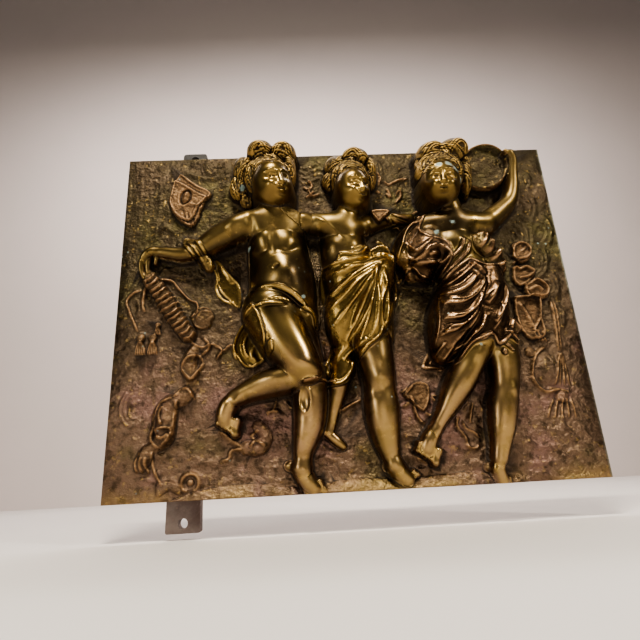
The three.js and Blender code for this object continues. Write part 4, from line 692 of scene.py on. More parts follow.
def leftArm():
    limb([(97.9, 195.6, 8, 10), (90.8, 191.7, 10, 11), (81.9, 188.1, 10, 10.6), (72.1, 183.7, 9, 9.4),
        (63.6, 178.7, 8, 7.6), (55.9, 176, 7, 6.2), (46.8, 174.6, 6, 5.8), (36.1, 176.4, 5.5, 5),
        (26, 178.3, 5, 4)], 7)
    press(89.5, 192.8, 8, 6, -1.4, 20)
    ridge([(97.7, 200.9), (101, 186.7), (98.3, 177.5)], 5, -1.2, 0.4)
    limb([(27.4, 178.3, 5, 3.8), (22.6, 177.1, 6, 4), (18.8, 173.7, 5.5, 3.2)], 2)
    limb([(20.6, 176.5, 5, 2.8), (17.2, 170.2, 5, 2.4), (17.2, 162.6, 4, 2), (20.1, 156, 2.6, 1.7)],
        0.8)
    limb([(22.4, 176.2, 4, 2.5), (21.4, 168.1, 4, 2.2), (22.1, 161.3, 3, 1.8), (24.2, 156.9, 2, 1.5)],
        0.8)
    limb([(24.6, 177.8, 4, 2.5), (27.7, 173.7, 4, 2.1), (26.8, 169.4, 3, 1.7)], 0.8)


def leftRaisedLeg():
    limb([(112.3, 125.5, 8, 20), (118.9, 111.3, 12, 18), (126, 97.9, 15, 15.8), (132.9, 86, 17, 13),
        (136.6, 79.7, 15.5, 11.4)], 6)
    limb([(136.6, 80.1, 14, 11.4), (128.4, 76.7, 13, 10.8), (117.6, 74.4, 11, 10), (106.7, 72.1, 9, 9),
        (95.7, 68.3, 8, 7.2), (87.4, 64.3, 7, 6)], 5)
    press(136, 81.4, 7, 6, -1.2)
    press(113.8, 75.3, 9, 5, -1.0, -12)
    limb([(87.2, 64.5, 6, 6), (82.6, 59.3, 6, 6.4), (80.6, 52.9, 5, 6.6), (81, 48.4, 4, 5.6)], 4)
    press(88.5, 60.5, 3, 3, -1.4)
    toes((87.9, 44.4), (76.5, 50.3), 8.4, 2.8, (-0.2, -0.98))


def leftThighCloth():  # cloth hanging behind the thigh, with its curved edge
    drape([(100.6, 127.4), (94.7, 122.3), (89.2, 114.8), (85.2, 104.6), (87.2, 95.9), (94.3, 86.1),
        (105.8, 89.5), (110.4, 101.2), (106.6, 117.9)], 2.2, 3, "cloth", 1.4)
    ridge([(125.4, 124.1), (112.2, 124.7), (100.6, 122.2), (91.8, 115.6), (87.6, 107.7), (85.9, 99.4),
        (90.2, 91.2), (97.2, 85.1)], 2.2, 2.2, 0.1, 0.3, "cloth")
    folds([[(96.3, 113), (93.2, 102.5), (95.8, 93.1)], [(101.7, 104.3), (98.7, 95.9), (102.9, 88.4)],
        [(105.9, 98.2), (107.2, 92.6)], [(112.4, 99.1), (114.4, 94.2), (112.2, 90.6)]], 3.0, 2.4)


def leftSash():  # sash over the elbow
    limb([(50.7, 185.3, 4, 4), (59.3, 178.8, 7, 5), (64.2, 171.5, 5, 4.6), (67.5, 164.3, 3, 4)], 2,
        "cloth")
    folds([[(45.7, 185.1), (53.2, 176.3), (58.1, 170.4), (63.4, 162.2)],
        [(56.6, 187), (61.7, 179.1), (65.7, 173), (67.8, 165.3)],
        [(52.2, 183.8), (58.9, 175), (63.9, 167.4)]], 2.0, 2.0)
    drape([(66.8, 169.2), (71.3, 158.7), (74.5, 146.4), (81.2, 138.1), (90.1, 131.5), (90, 149),
        (81, 160.8), (73.6, 170.6)], 2.4, 2.6, "cloth", 0.4)
    ridge([(67.2, 166.8), (72.6, 158.3), (72.8, 146.9), (76.6, 139.5), (84, 135.2), (88.4, 131.1)], 2.0,
        2.4, 0.12, 0.3, "cloth")
    ridge([(69.6, 172.9), (78, 164.2), (85.6, 150.8)], 3, 1.2, 0.2, 0.3)


def leftGarter():
    mass((135, 59.6, 9.5), (5.6, 10.5, 6), 0, 1.5, "trim")
    ridge(arc(135, 59.3, 4.0, 8.4, 0, 360), 1.8, 1.2, 0)
    press(135, 59.3, 3.0, 6.6, 1.6)
    band([(132.7, 70.6), (138.9, 71.6), (147.2, 73.1), (157.2, 72.9)], 2.2, 2.2, 0.12)


def leftHipCloth():  # cloth at the hip, between the first and second child
    ridge([(134.1, 123.7), (140.5, 123.2), (144.7, 118.7), (145.7, 110.1)], 2.6, 2.4, 0.15, 0.3,
        "cloth")


def leftHead():
    limb([(113.2, 197, 11, 11), (114.2, 203.9, 13, 10), (115.9, 211.2, 14, 9.6)], 5)
    mass((113.4, 234.8, 13), (18.5, 19, 14), 10, 2, "hair")
    mass((107.9, 256.8, 16), (10.5, 9, 11), 0, 3, "hair")
    mass((125.5, 255.1, 15), (10.5, 9, 10.5), 0, 3, "hair")
    mass((94.8, 244.3, 9), (9, 12, 10), 10, 3, "hair")
    mass((91.1, 231.4, 3.5), (8.5, 11, 9), -10, 3, "hair")
    mass((96.2, 220.4, 2), (6, 6, 6.5), 0, 2, "hair")
    mass((130.3, 242.1, 11), (5, 16, 11.5), 0, 3, "hair")
    face((117.2, 222.3, 21), (15.2, 19.6, 15), 24, 10)
    tresses(115.2, 223, 38, 12, 13, 1.5)
    lock([(114.5, 246.6), (108, 256.1), (101, 252.5), (97.3, 245.5)], 3.6, 3, 0.45)
    lock([(116.7, 246.5), (122.6, 256.5), (128.6, 256.7), (131.3, 248.6)], 3.6, 3, 0.45)
    lock([(104.6, 240.5), (98.5, 238.8), (97, 233.3), (91.6, 229.6)], 3.4, 3, 0.45)
    lock([(91.9, 240.9), (85.9, 234.8), (83.8, 228.4), (88.2, 222.3), (94.7, 220.8)], 3.2, 3, 0.5)
    lock([(118.3, 239.6), (124.7, 237.3), (128.8, 232.7)], 2.4, 2, 0.5)
    lock([(111.6, 239.8), (106.1, 236), (103.3, 229.4)], 2.4, 2, 0.5)


def leftChild():
    leftStandingLeg()
    leftBody()
    groundBetween()
    leftArm()
    leftRaisedLeg()
    leftThighCloth()
    leftSash()
    leftGarter()
    leftHipCloth()
    leftHead()


def middleBackLeg():
    limb([(164, 83.8, 1, 8), (158, 66.6, 1, 7), (153.6, 50, 1, 4.6), (151, 40.1, 1, 4)], 2)
    limb([(148.9, 38.9, 1, 3.8), (154.6, 33.3, 1.6, 3.8), (159.2, 29.2, 1, 3)], 2)


def middleBody():
    limb([(167.1, 191.5, -0.5, 18), (169.3, 170.2, 0, 20), (172.7, 148.3, 0.5, 21.4),
        (176.8, 127.5, 1.5, 22), (180.8, 113, 2, 19)], 9, flat=0.96)
    limb([(143.7, 195.1, 8, 9), (156.4, 192.1, 10, 10), (171.3, 189.6, 9, 10), (182.5, 190.6, 5, 8)], 8)
    press(160.8, 173.4, 9, 7, -2.0)
    press(177, 173.9, 7, 7, -1.6)
    press(167.1, 149.5, 12, 11, -2.6)
    press(151.6, 188.3, 7, 5, -1.2)
    limb([(171, 189.5, 4, 9), (187.7, 195, 3, 8), (204.1, 199.4, 2, 6), (223.6, 200.9, 1, 4.4)], 4)
    limb([(123.4, 207.7, 6, 5), (131, 199.8, 8, 5.6), (139.9, 194.4, 9, 6)], 2, "cloth")
    ridge([(125.2, 209.6), (134.2, 201.9), (141.5, 195.3)], 2.4, 1.0, 0.3, 0.3)
    ridge([(146.8, 197.3), (155.3, 190.1), (164.3, 180.9), (169, 175)], 3.0, 0.9, 0.3, 0.3)


def middleFrontLeg():
    limb([(183.5, 105.3, 6, 15), (185.6, 90.7, 8, 13), (186.8, 79.7, 8, 11.8), (187.2, 66.3, 7, 10.8),
        (187.4, 54.2, 6, 12), (187.7, 41.2, 6, 10.6), (189, 29.7, 5, 8.4), (190.5, 22.1, 5, 6.4),
        (192.5, 15.1, 4.6, 6.2)], 4)
    press(186.1, 71.9, 6, 5, -1.6)
    press(183.4, 62.3, 3, 3, 0.8)
    mass((188.3, 14.9, 1), (4, 4.6, 4.2), 0, 4)
    limb([(192.5, 15.1, 4.4, 6.4), (196.1, 9.9, 3.8, 6.2), (199.9, 6, 3, 5.4)], 4)
    toes((195.8, 5.6), (206.2, 9.5), 6, 2.1, (0.75, -0.66))
    press(188.4, 82.3, 6, 7, -1.0)


def middleWrap():
    limb([(198.3, 161.1, 9, 8), (187.2, 137.4, 9, 16), (183.9, 115.1, 8, 17), (188, 105.6, 6, 13)], 3,
        "cloth")
    limb([(194.3, 158, 9, 8), (171.7, 135.3, 7, 15), (165.4, 114, 5, 14), (164.8, 97.8, 2, 9),
        (159.1, 82.5, 0, 6)], 3, "cloth")
    drape([(150.9, 156.6), (160.1, 157.3), (165.4, 164.6), (177.6, 164.4), (189, 174.4), (198.9, 179.5),
        (205.8, 173.9), (206.9, 159.1), (207.7, 138.2), (202.2, 121.3), (193.4, 105), (187.2, 98.2),
        (179.2, 93.2), (172.1, 86.1), (168.1, 77.4), (161.4, 70.8), (152.9, 70.5), (147.8, 80.5),
        (154.2, 95.5), (152.9, 112.9), (150.2, 129.8), (148.8, 143.9)], 1.6, 2.4)
    folds([[(150, 155.7), (162.8, 156.2), (175.6, 158.5), (189.3, 163.7), (200.5, 164.6)],
        [(153.9, 148.2), (166.5, 148.8), (179.5, 153.6), (195.4, 160.6)],
        [(163.4, 164.1), (173.2, 163.8), (181.7, 168.8), (193.9, 177)],
        [(173.5, 166.7), (184.1, 171.1), (198, 169.6)], [(166.6, 150.7), (177.9, 151.7), (190.9, 158)]],
        2.6, 2.3)
    folds([[(197.3, 157.3), (176.6, 144.8), (160, 133.1), (152.9, 129.7)],
        [(193.2, 150.9), (177.7, 131.8), (163.1, 117.3), (155.3, 107.8)],
        [(193.6, 147.7), (190, 127.2), (186.3, 108.2), (179.3, 96.3)],
        [(194.5, 147), (197.1, 130), (194.3, 112.8), (188.2, 101)],
        [(184.2, 124.5), (176.5, 110.1), (168.1, 99.9)]], 1.8, 1.4, 0.35)
    folds([[(198.1, 158.9), (179, 148.5), (162.9, 136.7), (150.1, 129)],
        [(196.4, 155.8), (178.4, 142), (165.1, 129.8), (153.8, 120.6)],
        [(194.6, 154.9), (180.8, 137.3), (168.7, 121.5), (158.7, 110.1)],
        [(192.6, 152.4), (182.4, 131.2), (173, 112.5), (164.5, 98.6)],
        [(190.8, 151.6), (186, 131.5), (180.6, 112.2), (173.4, 96)],
        [(189.4, 152.4), (189, 131.8), (187.8, 112.6), (184.6, 98.6)],
        [(195.6, 150.1), (196.1, 137.7), (191.1, 122.7), (190.5, 106.2)],
        [(201.9, 142.3), (206.2, 134.3), (199.7, 120.7), (193.3, 107.3)]], 2.3, 2.4, 0.35)
    ridge([(190.5, 106.2), (187.2, 98.9), (179.2, 93.2), (172.8, 86.1), (168.9, 78.1), (162.8, 71.4),
        (154.2, 69.7), (145.8, 69.4)], 2.4, 2.4, 0.1, 0.3, "cloth")
    folds([[(179.4, 98.5), (169.5, 92.8), (162.3, 86.8)], [(168.3, 97.4), (161, 91.5), (156.6, 85.2)]],
        3, 2.2)
    press(201.9, 160.7, 4, 6, 2.5, 10)


def middleKnot():  # cloth knot behind the shoulder
    drape([(193.5, 209.6), (200.8, 210.2), (207.8, 209), (208.2, 204.5), (202, 197.6), (197.6, 193.3),
        (193.2, 197), (191.4, 203.4)], 3.4, 2.2, "trim", 1.2)
    band([(200.2, 197.1), (203.5, 198.7), (205.7, 195.7)], 2.2, 2.0, 0.2)
    folds([[(207.9, 203), (215.3, 200.4), (222.5, 198.9)],
        [(207.4, 198.6), (214.9, 195.9), (224.6, 194.9)],
        [(207.8, 192.9), (212.5, 194), (215.5, 190.9)]], 2.2, 1.8)
    ridge([(195.9, 183.1), (200.2, 180.4), (204.7, 175.3)], 2.2, 1.2, 0.2, 0.3, "cloth")


def middleHead():
    limb([(170.3, 194.8, 8, 9.4), (173.7, 201.7, 9.5, 9), (176.5, 209.1, 10, 9)], 5)
    mass((178.2, 232.4, 8.5), (15.5, 18, 13.5), 0, 2, "hair")
    mass((183.4, 252.4, 10), (11, 8, 9.5), 0, 3, "hair")
    mass((167.7, 247.7, 5), (9, 9.5, 9), 0, 3, "hair")
    mass((163.3, 236.1, 2), (7.5, 9, 7), 0, 3, "hair")
    mass((195, 240.5, 6), (5, 14, 9.5), 0, 3, "hair")
    face((178.4, 218.9, 15.5), (13.6, 18, 14), 26, 4)
    tresses(177.4, 219.6, 33, 0, 12, 1.4)
    lock([(187.3, 248.2), (181.2, 255.3), (173.2, 252.4), (168.4, 247.1)], 3.4, 3, 0.45)
    lock([(184.2, 248.3), (191.1, 250.2), (196, 245.4), (196.7, 235.9)], 3.2, 3, 0.45)
    lock([(167.4, 240.7), (164, 235.4), (158.2, 230.2)], 3.0, 3, 0.5)
    lock([(174.1, 239.8), (170.4, 236.1), (168.8, 229.7)], 2.4, 2, 0.5)


def middleChild():
    middleBackLeg()
    middleBody()
    middleFrontLeg()
    middleWrap()
    middleKnot()
    middleHead()


def rightStandingLeg():
    limb([(274.4, 102.1, 4, 14), (276.4, 85.8, 6, 12), (276.2, 74.7, 6, 10.8), (274.3, 62.4, 6, 9.8),
        (270.5, 49.6, 6, 10.4), (267.9, 36.6, 6, 9.2), (265.5, 25.3, 5, 7.2), (263, 16.5, 5, 6)], 3)
    mass((256.5, 10.7, 0.8), (4, 3.6, 4), 0, 3)
    limb([(263.6, 15.9, 4, 5), (261.1, 9.7, 4, 5.4), (262.9, 2.1, 3, 5.2)], 3)
    toes((268, 1.2), (260.5, 0.4), 5.4, 1.7, (0.2, -0.97), 4)
    press(277.3, 60.5, 4, 4, -1.2)


def rightBody():
    limb([(253.2, 185.5, 5, 17), (254.1, 164.5, 5.5, 18.6), (256.1, 143.5, 4.5, 20),
        (258.7, 120.7, 3.5, 20), (261.1, 106.7, 2, 18)], 9, flat=0.95)
    limb([(235.4, 189.6, 8, 9.6), (249.6, 189.3, 11, 10.8), (264.7, 188.7, 11, 10.8),
        (278, 188.3, 9, 9.4)], 8)
    press(241.2, 171.3, 8, 7, -1.8)
    press(257.2, 170.7, 8, 7, -1.8)


def rightArm():
    limb([(273.3, 187.6, 9, 9.4), (281.9, 191.9, 9, 8.6), (292.3, 200.1, 9, 7.2), (302.2, 209.2, 9, 6),
        (306.5, 219.8, 10, 5), (308.2, 232.7, 12, 4.2), (309.2, 243.1, 15, 3.4), (307, 248.4, 17, 3.2)],
        4)
    limb([(308.4, 248.6, 16, 2.6), (303, 249.4, 18, 2.2)], 1)


def rightHangingLeg():
    limb([(265.7, 110, 8, 14), (259, 94.4, 10, 11), (251.7, 80.8, 10, 9.6), (243.9, 68.8, 9, 10),
        (236.9, 58.6, 8, 8.6), (230.9, 49.2, 7, 6.2), (225.7, 41.7, 6, 5), (222.4, 36.1, 5.4, 4.6)], 4)
    limb([(221.8, 36.1, 5, 5), (217.4, 29.7, 5, 6), (215.6, 24.7, 4, 6.2)], 3)
    toes((221, 18.8), (209.1, 25.9), 8.4, 2.7, (-0.4, -0.92))
    press(254.3, 85, 5, 6, -1.0)


def rightShoulderCloth():  # cloth of the left shoulder, hanging in a deep loop
    limb([(233.6, 192, 6, 7), (221.3, 180.2, 4, 10), (216.5, 165.7, 4, 11), (220, 152.8, 4, 8)], 6,
        "cloth")
    limb([(234.7, 176.5, 9, 11), (228.2, 162.8, 9, 13), (226.9, 152.8, 6, 9)], 6, "cloth")
    drape([(233, 197.3), (222.8, 191.5), (215.2, 182.5), (211.3, 172.9), (206.4, 161.7), (208.8, 145.5),
        (216.4, 151.3), (226, 143.9), (237.1, 144.6), (245.3, 155.2), (246.1, 166.9), (240.4, 173.6),
        (232.1, 175.9), (227.4, 184)], 1.8, 3, "cloth", 1.2)
    folds([[(228.2, 190.8), (220.2, 187.3), (214.5, 179.7), (211.6, 170.6), (207.7, 161.2)],
        [(211.3, 165.8), (217.5, 156.9), (223.8, 158.6), (230.8, 165.4), (238.9, 166.9), (244, 161),
            (240.2, 155.3), (228.2, 153.2), (218.2, 154.3)]], 3.0, 3.2, 0.35, 0.2)
    folds([[(215, 173.6), (219.7, 164.5), (225.4, 165.8), (233, 172.9)],
        [(229.4, 158.6), (233.7, 160.6), (238.5, 161.6)],
        [(211.6, 143.8), (217.7, 150.8), (225.6, 144.7), (235.2, 145.5), (243, 153.5)]], 2.6, 2.0, 0.35,
        0.25)
    press(224.1, 172.1, 8, 5, 1.4, 30)
    press(232.7, 157, 5, 2.4, 1.6)
    press(225, 149.5, 8, 3, 1.6)
    mass((229, 145.8, 3), (6.5, 2.6, 4.4), 0, 1.5, "cloth")
    folds([[(256.3, 171.5), (253.1, 163.2), (246.5, 156.9), (242.4, 151.7), (236.2, 143.4)],
        [(260.7, 169.4), (256.7, 160.3), (249.6, 152.8), (244, 148.5), (238.1, 140.9)]], 3.2, 2.2, 0.3,
        0.15)
    folds([[(224.3, 204.5), (230, 207.3), (236, 207.6), (240.9, 202), (250.8, 195.7)],
        [(226.8, 200.2), (234.4, 202.6), (242.1, 196.4)]], 2.8, 2.2)


def rightBunch():
    mass((269, 167.5, 15), (12, 9.5, 11), -30, 3, "cloth")
    mass((277.3, 159.5, 11), (9.5, 8, 10), -35, 3, "cloth")
    mass((283.7, 153.1, 7), (7, 6.5, 9), -35, 3, "cloth")
    folds([[(267.1, 176.3), (271.2, 174.2), (271.3, 167.9), (266.4, 162.2)],
        [(270.2, 172.6), (276.4, 169.9), (276.4, 163.1), (270.4, 157.8)],
        [(275.3, 167.8), (282.2, 164.4), (281.6, 158.5), (274.4, 153.5)],
        [(280.4, 162.3), (287.6, 158.6), (286.4, 153.4), (280, 149.2)]], 3.4, 3.2, 0.35, 0.2)


def rightSkirt():
    limb([(266.3, 154.3, 9, 10), (252.6, 132.3, 9, 16), (243.2, 114.9, 8, 16), (238.1, 100.4, 6, 13),
        (235.7, 90.6, 2, 10)], 4, "cloth")
    limb([(274.2, 154.4, 8, 10), (271, 130.7, 8, 15), (271.2, 112.7, 6, 14)], 4, "cloth")
    drape([(257.4, 155.5), (270.1, 151.8), (286.5, 151.6), (289.4, 137.9), (288.3, 119), (282.9, 100.7),
        (271.5, 90), (265.4, 96.6), (253.2, 92.8), (248.3, 89.1), (242, 82.4), (231.7, 78.7),
        (219.2, 80.3), (224.9, 93), (228.8, 107), (230.2, 121.6), (232.9, 134.8), (242.1, 145.4)], 1.8,
        2.4)
    folds([[(261.2, 150.2), (252.4, 142.3), (242.4, 136.4), (235.4, 136.1)],
        [(265, 146.9), (255.1, 134.1), (243.8, 128.3), (233.5, 129.3)],
        [(267.7, 139.5), (258.2, 126.5), (246.6, 120.3), (234, 121.6)],
        [(267.2, 136.4), (259, 120.9), (246.9, 110.4), (233, 110.2)],
        [(262.8, 126.7), (255.3, 112.6), (243.9, 102.8), (230.6, 99.1)],
        [(261.1, 118.2), (253.5, 106), (245.8, 98.1), (234.7, 89.7)],
        [(263.5, 111.4), (258.6, 102.7), (251, 96.1), (240.5, 85.6)],
        [(257.2, 150.9), (262.1, 147.1), (268.7, 143)], [(255.2, 147), (260.3, 142), (266.9, 138.8)],
        [(276.1, 135.1), (270.8, 125.3), (265.5, 119.5)],
        [(283.9, 137.3), (280.5, 121.8), (269.7, 105.6)]], 2.6, 2.8, 0.4)
    folds([[(258.1, 142.1), (247.2, 133.8), (238.6, 132.1)],
        [(261.9, 132.3), (251, 123.5), (238.1, 123.7)],
        [(262.1, 122.2), (251.1, 112.8), (239.3, 111.6)],
        [(258.3, 113.9), (246.4, 104.9), (235.1, 104.2)],
        [(255.8, 102.9), (248.5, 93.9), (239.4, 88.6)], [(270.8, 129.9), (263.3, 123.3)],
        [(233.9, 94.2), (228.4, 88.1), (225, 82.7)], [(241.1, 93.9), (235.4, 86.3), (232.2, 82.3)],
        [(276.6, 120.4), (274, 109.1), (267.5, 101)]], 1.5, 1.4, 0.3)
    mass((256.4, 93.9, 6), (7, 3, 9), 20, 1.5, "cloth")
    ridge([(219.2, 80.3), (226.1, 79.7), (233.2, 78.6), (241.8, 82.9), (247.6, 89.2), (252.3, 93.3),
        (260.2, 95.5), (266, 98.5)], 2.4, 2.6, 0.1, 0.3, "cloth")
    ridge([(233.2, 100.2), (238.4, 103.9), (244.5, 104.6), (248.5, 106.8)], 2.2, 1.6, 0.15, 0.3,
        "cloth")


def rightKneeRibbons():
    limb([(280.6, 108.9, 6, 7), (288.2, 106.1, 5, 6)], 1.5, "cloth")
    folds([[(281.6, 111), (287.6, 107.7), (296, 102.1)], [(276.1, 100.7), (281.6, 97.2), (288.5, 92.6)],
        [(274, 92.7), (278.1, 89.3), (280.7, 85.8)], [(281.6, 102.7), (284.8, 108.6), (291.3, 113.1)],
        [(273.3, 88), (274.7, 83.5)]], 3.0, 2.6)
    drape([(276.8, 99.7), (284.6, 102.3), (293.4, 99.8), (291.5, 93.1), (281.9, 95.7)], 1.6, 2, "cloth",
        0.8)


def rightHead():
    limb([(254.4, 190.8, 12, 9.6), (253.2, 196.8, 14, 9), (251, 204.9, 15, 9)], 5)
    mass((249.6, 234.3, 13), (18.5, 19, 14), 0, 2, "hair")
    mass((244.2, 250.9, 14), (12, 10, 10.5), 0, 3, "hair")
    mass((261.3, 252.5, 16), (12, 9.5, 11), 0, 3, "hair")
    mass((237.8, 243.7, 7), (6.5, 14, 10), 0, 3, "hair")
    mass((269.9, 235, 9), (5.5, 18, 10.5), 0, 3, "hair")
    face((246.1, 219.2, 20), (15, 19.2, 15), -6, -4)
    tresses(247.6, 218.2, 38, -4, 13, 1.5)
    lock([(254.6, 243.6), (249.4, 254), (241.7, 253.7), (235.3, 249.1)], 3.6, 3, 0.45)
    lock([(252.3, 243.7), (262.9, 254.5), (269.7, 252.6), (271.9, 242.4)], 3.6, 3, 0.45)
    lock([(239.1, 244.2), (234.2, 241), (232.5, 232.7), (236.3, 225.3)], 3.2, 3, 0.45)
    lock([(243.6, 237.3), (238.9, 235.5), (238, 228.9)], 2.6, 2, 0.5)
    lock([(255, 237.3), (261.5, 234), (264.3, 226.8)], 2.6, 2, 0.5)


def rightChild():
    tambourine(286.9, 241.4, 19, 20)
    rightStandingLeg()
    rightBody()
    rightArm()
    rightHangingLeg()
    rightShoulderCloth()
    rightBunch()
    rightSkirt()
    rightKneeRibbons()
    rightHead()


def finishRim():  # the relief starts just inside the plate's rim and never sinks below its face
    side = np.minimum(gridU, plate["width"] - gridU)[None, :]
    end = np.minimum(gridV + sculpt["footRoom"], plate["height"] - gridV)[:, None]
    np.minimum(rise, np.minimum(side, end) * sculpt["rimSlope"], out=rise)
    np.maximum(rise, 0, out=rise)


landscape()
wing()
garland()
fallingRibbon()
groundOrnaments()
rightStreamers()
middleStreamers()
stickAndLoops()
backgroundKnots()
middleChild()
rightChild()
leftChild()
finishRim()
print("relief shaped")

casting = {
    "triangles": 194000,  # of the front, once thinned
    "spare": 0.05,  # millimetres left free inside the solid's depth
    "wayBack": 0.5,  # metres: where the back's rim waits to be set flat
}


def sample(field, u, v):  # a map's value at any place of the plate
    i = np.clip(u / plate["step"], 0, columns - 1.001)
    j = np.clip(v / plate["step"], 0, rows - 1.001)
    i0, j0 = i.astype(int), j.astype(int)
    fi, fj = i - i0, j - j0
    low = field[j0, i0] * (1 - fi) + field[j0, i0 + 1] * fi
    return low * (1 - fj) + (field[j0 + 1, i0] * (1 - fi) + field[j0 + 1, i0 + 1] * fi) * fj


def soften(field, radius):  # a blurred copy of a map, radius in grid steps
    weights = np.exp(-np.linspace(-2, 2, 2 * radius + 1) ** 2)
    weights /= weights.sum()
    wide = np.pad(field, radius, mode="edge")
    across = sum(w * wide[:, n:n + field.shape[1]] for n, w in enumerate(weights))
    return sum(w * across[n:n + field.shape[0], :] for n, w in enumerate(weights))


def onPlate(places):  # where vertices in millimetres are on the plate
    return places[:, 0] + plate["u"], places[:, 2] + plate["v"]


def raiseFront():  # a grid as large as the plate, pulled out to the height surface
    deselectAll()
    bpy.ops.mesh.primitive_grid_add(x_subdivisions=columns - 1, y_subdivisions=rows - 1, size=1)
    piece = bpy.context.object
    piece.name = piece.data.name = "reliefCasting"
    places = readPlaces(piece)
    u = (places[:, 0] / np.ptp(places[:, 0]) + 0.5) * plate["width"]
    v = (places[:, 1] / np.ptp(places[:, 1]) + 0.5) * plate["height"]
    i = np.rint(u / plate["step"]).astype(int)
    j = np.rint(v / plate["step"]).astype(int)
    writePlaces(piece, np.stack([u - plate["u"], plate["face"] - rise[j, i], v - plate["v"]], 1) * mm)
    return piece


def closeBack(piece):  # walls the rim back to a flat back, and closes it
    bpy.ops.object.mode_set(mode="EDIT")
    bpy.ops.mesh.select_all(action="DESELECT")
    bpy.ops.mesh.select_mode(type="EDGE")
    bpy.ops.mesh.select_non_manifold(extend=False, use_wire=False, use_multi_face=False,
                                     use_non_contiguous=False, use_verts=False)
    bpy.ops.mesh.extrude_region_move()
    bpy.ops.transform.resize(value=(1, 0, 1))
    bpy.ops.transform.translate(value=(0, casting["wayBack"], 0))
    bpy.ops.object.mode_set(mode="OBJECT")
    places = readPlaces(piece)
    places[places[:, 1] > casting["wayBack"] / 5, 1] = plate["back"] * mm
    writePlaces(piece, places)
    bpy.ops.object.mode_set(mode="EDIT")
    bpy.ops.mesh.edge_face_add()
    bpy.ops.mesh.quads_convert_to_tris()
    bpy.ops.object.mode_set(mode="OBJECT")


def makeCasting():  # the relief as one closed casting
    room = plate["face"] - cadBox[0].y / mm - casting["spare"]
    rise[:] *= min(1, room / rise.max())
    piece = raiseFront()
    choose(piece)
    thin = piece.modifiers.new("thin", "DECIMATE")
    thin.ratio = casting["triangles"] / (2.0 * (columns - 1) * (rows - 1))
    bpy.ops.object.modifier_apply(modifier=thin.name)
    closeBack(piece)
    print("casting made,", len(piece.data.polygons), "triangles")
    return piece


def markZones(piece):  # stores what the finish needs to know at every vertex
    places = readPlaces(piece) / mm
    u, v = onPlate(places)
    alongV, alongU = np.gradient(soften(rise, 3), gridV, gridU)
    maps = {
        "crease": 0.5 + 0.55 * (rise - soften(rise, 2)),
        "hollow": 0.5 + 0.12 * (rise - soften(rise, 7)),
        "flank": 1 - 1 / np.sqrt(1 + alongU**2 + alongV**2),
        **zones,
    }
    back = places[:, 1] > plate["face"] + 2
    for name, field in maps.items():
        values = np.clip(sample(field, u, v), 0, 1)
        values[back] = 0.5 if name in ("crease", "hollow") else 0
        store = piece.data.attributes.new(name, "FLOAT", "POINT")
        store.data.foreach_set("value", values.astype(np.float32))


def smoothFront(piece):  # takes the shading of the front from the relief's own slopes
    alongV, alongU = np.gradient(soften(rise, 1), gridV, gridU)
    places = readPlaces(piece) / mm
    u, v = onPlate(places)
    normals = np.stack([-sample(alongU, u, v), -np.ones(len(u)), -sample(alongV, u, v)], 1)
    normals /= np.linalg.norm(normals, axis=1, keepdims=True)
    rim = np.minimum(np.minimum(u, plate["width"] - u), np.minimum(v, plate["height"] - v))
    normals[(rim < 0.7) | (places[:, 1] > plate["face"] + 1.5)] = 0
    piece.data.normals_split_custom_set_from_vertices(normals)


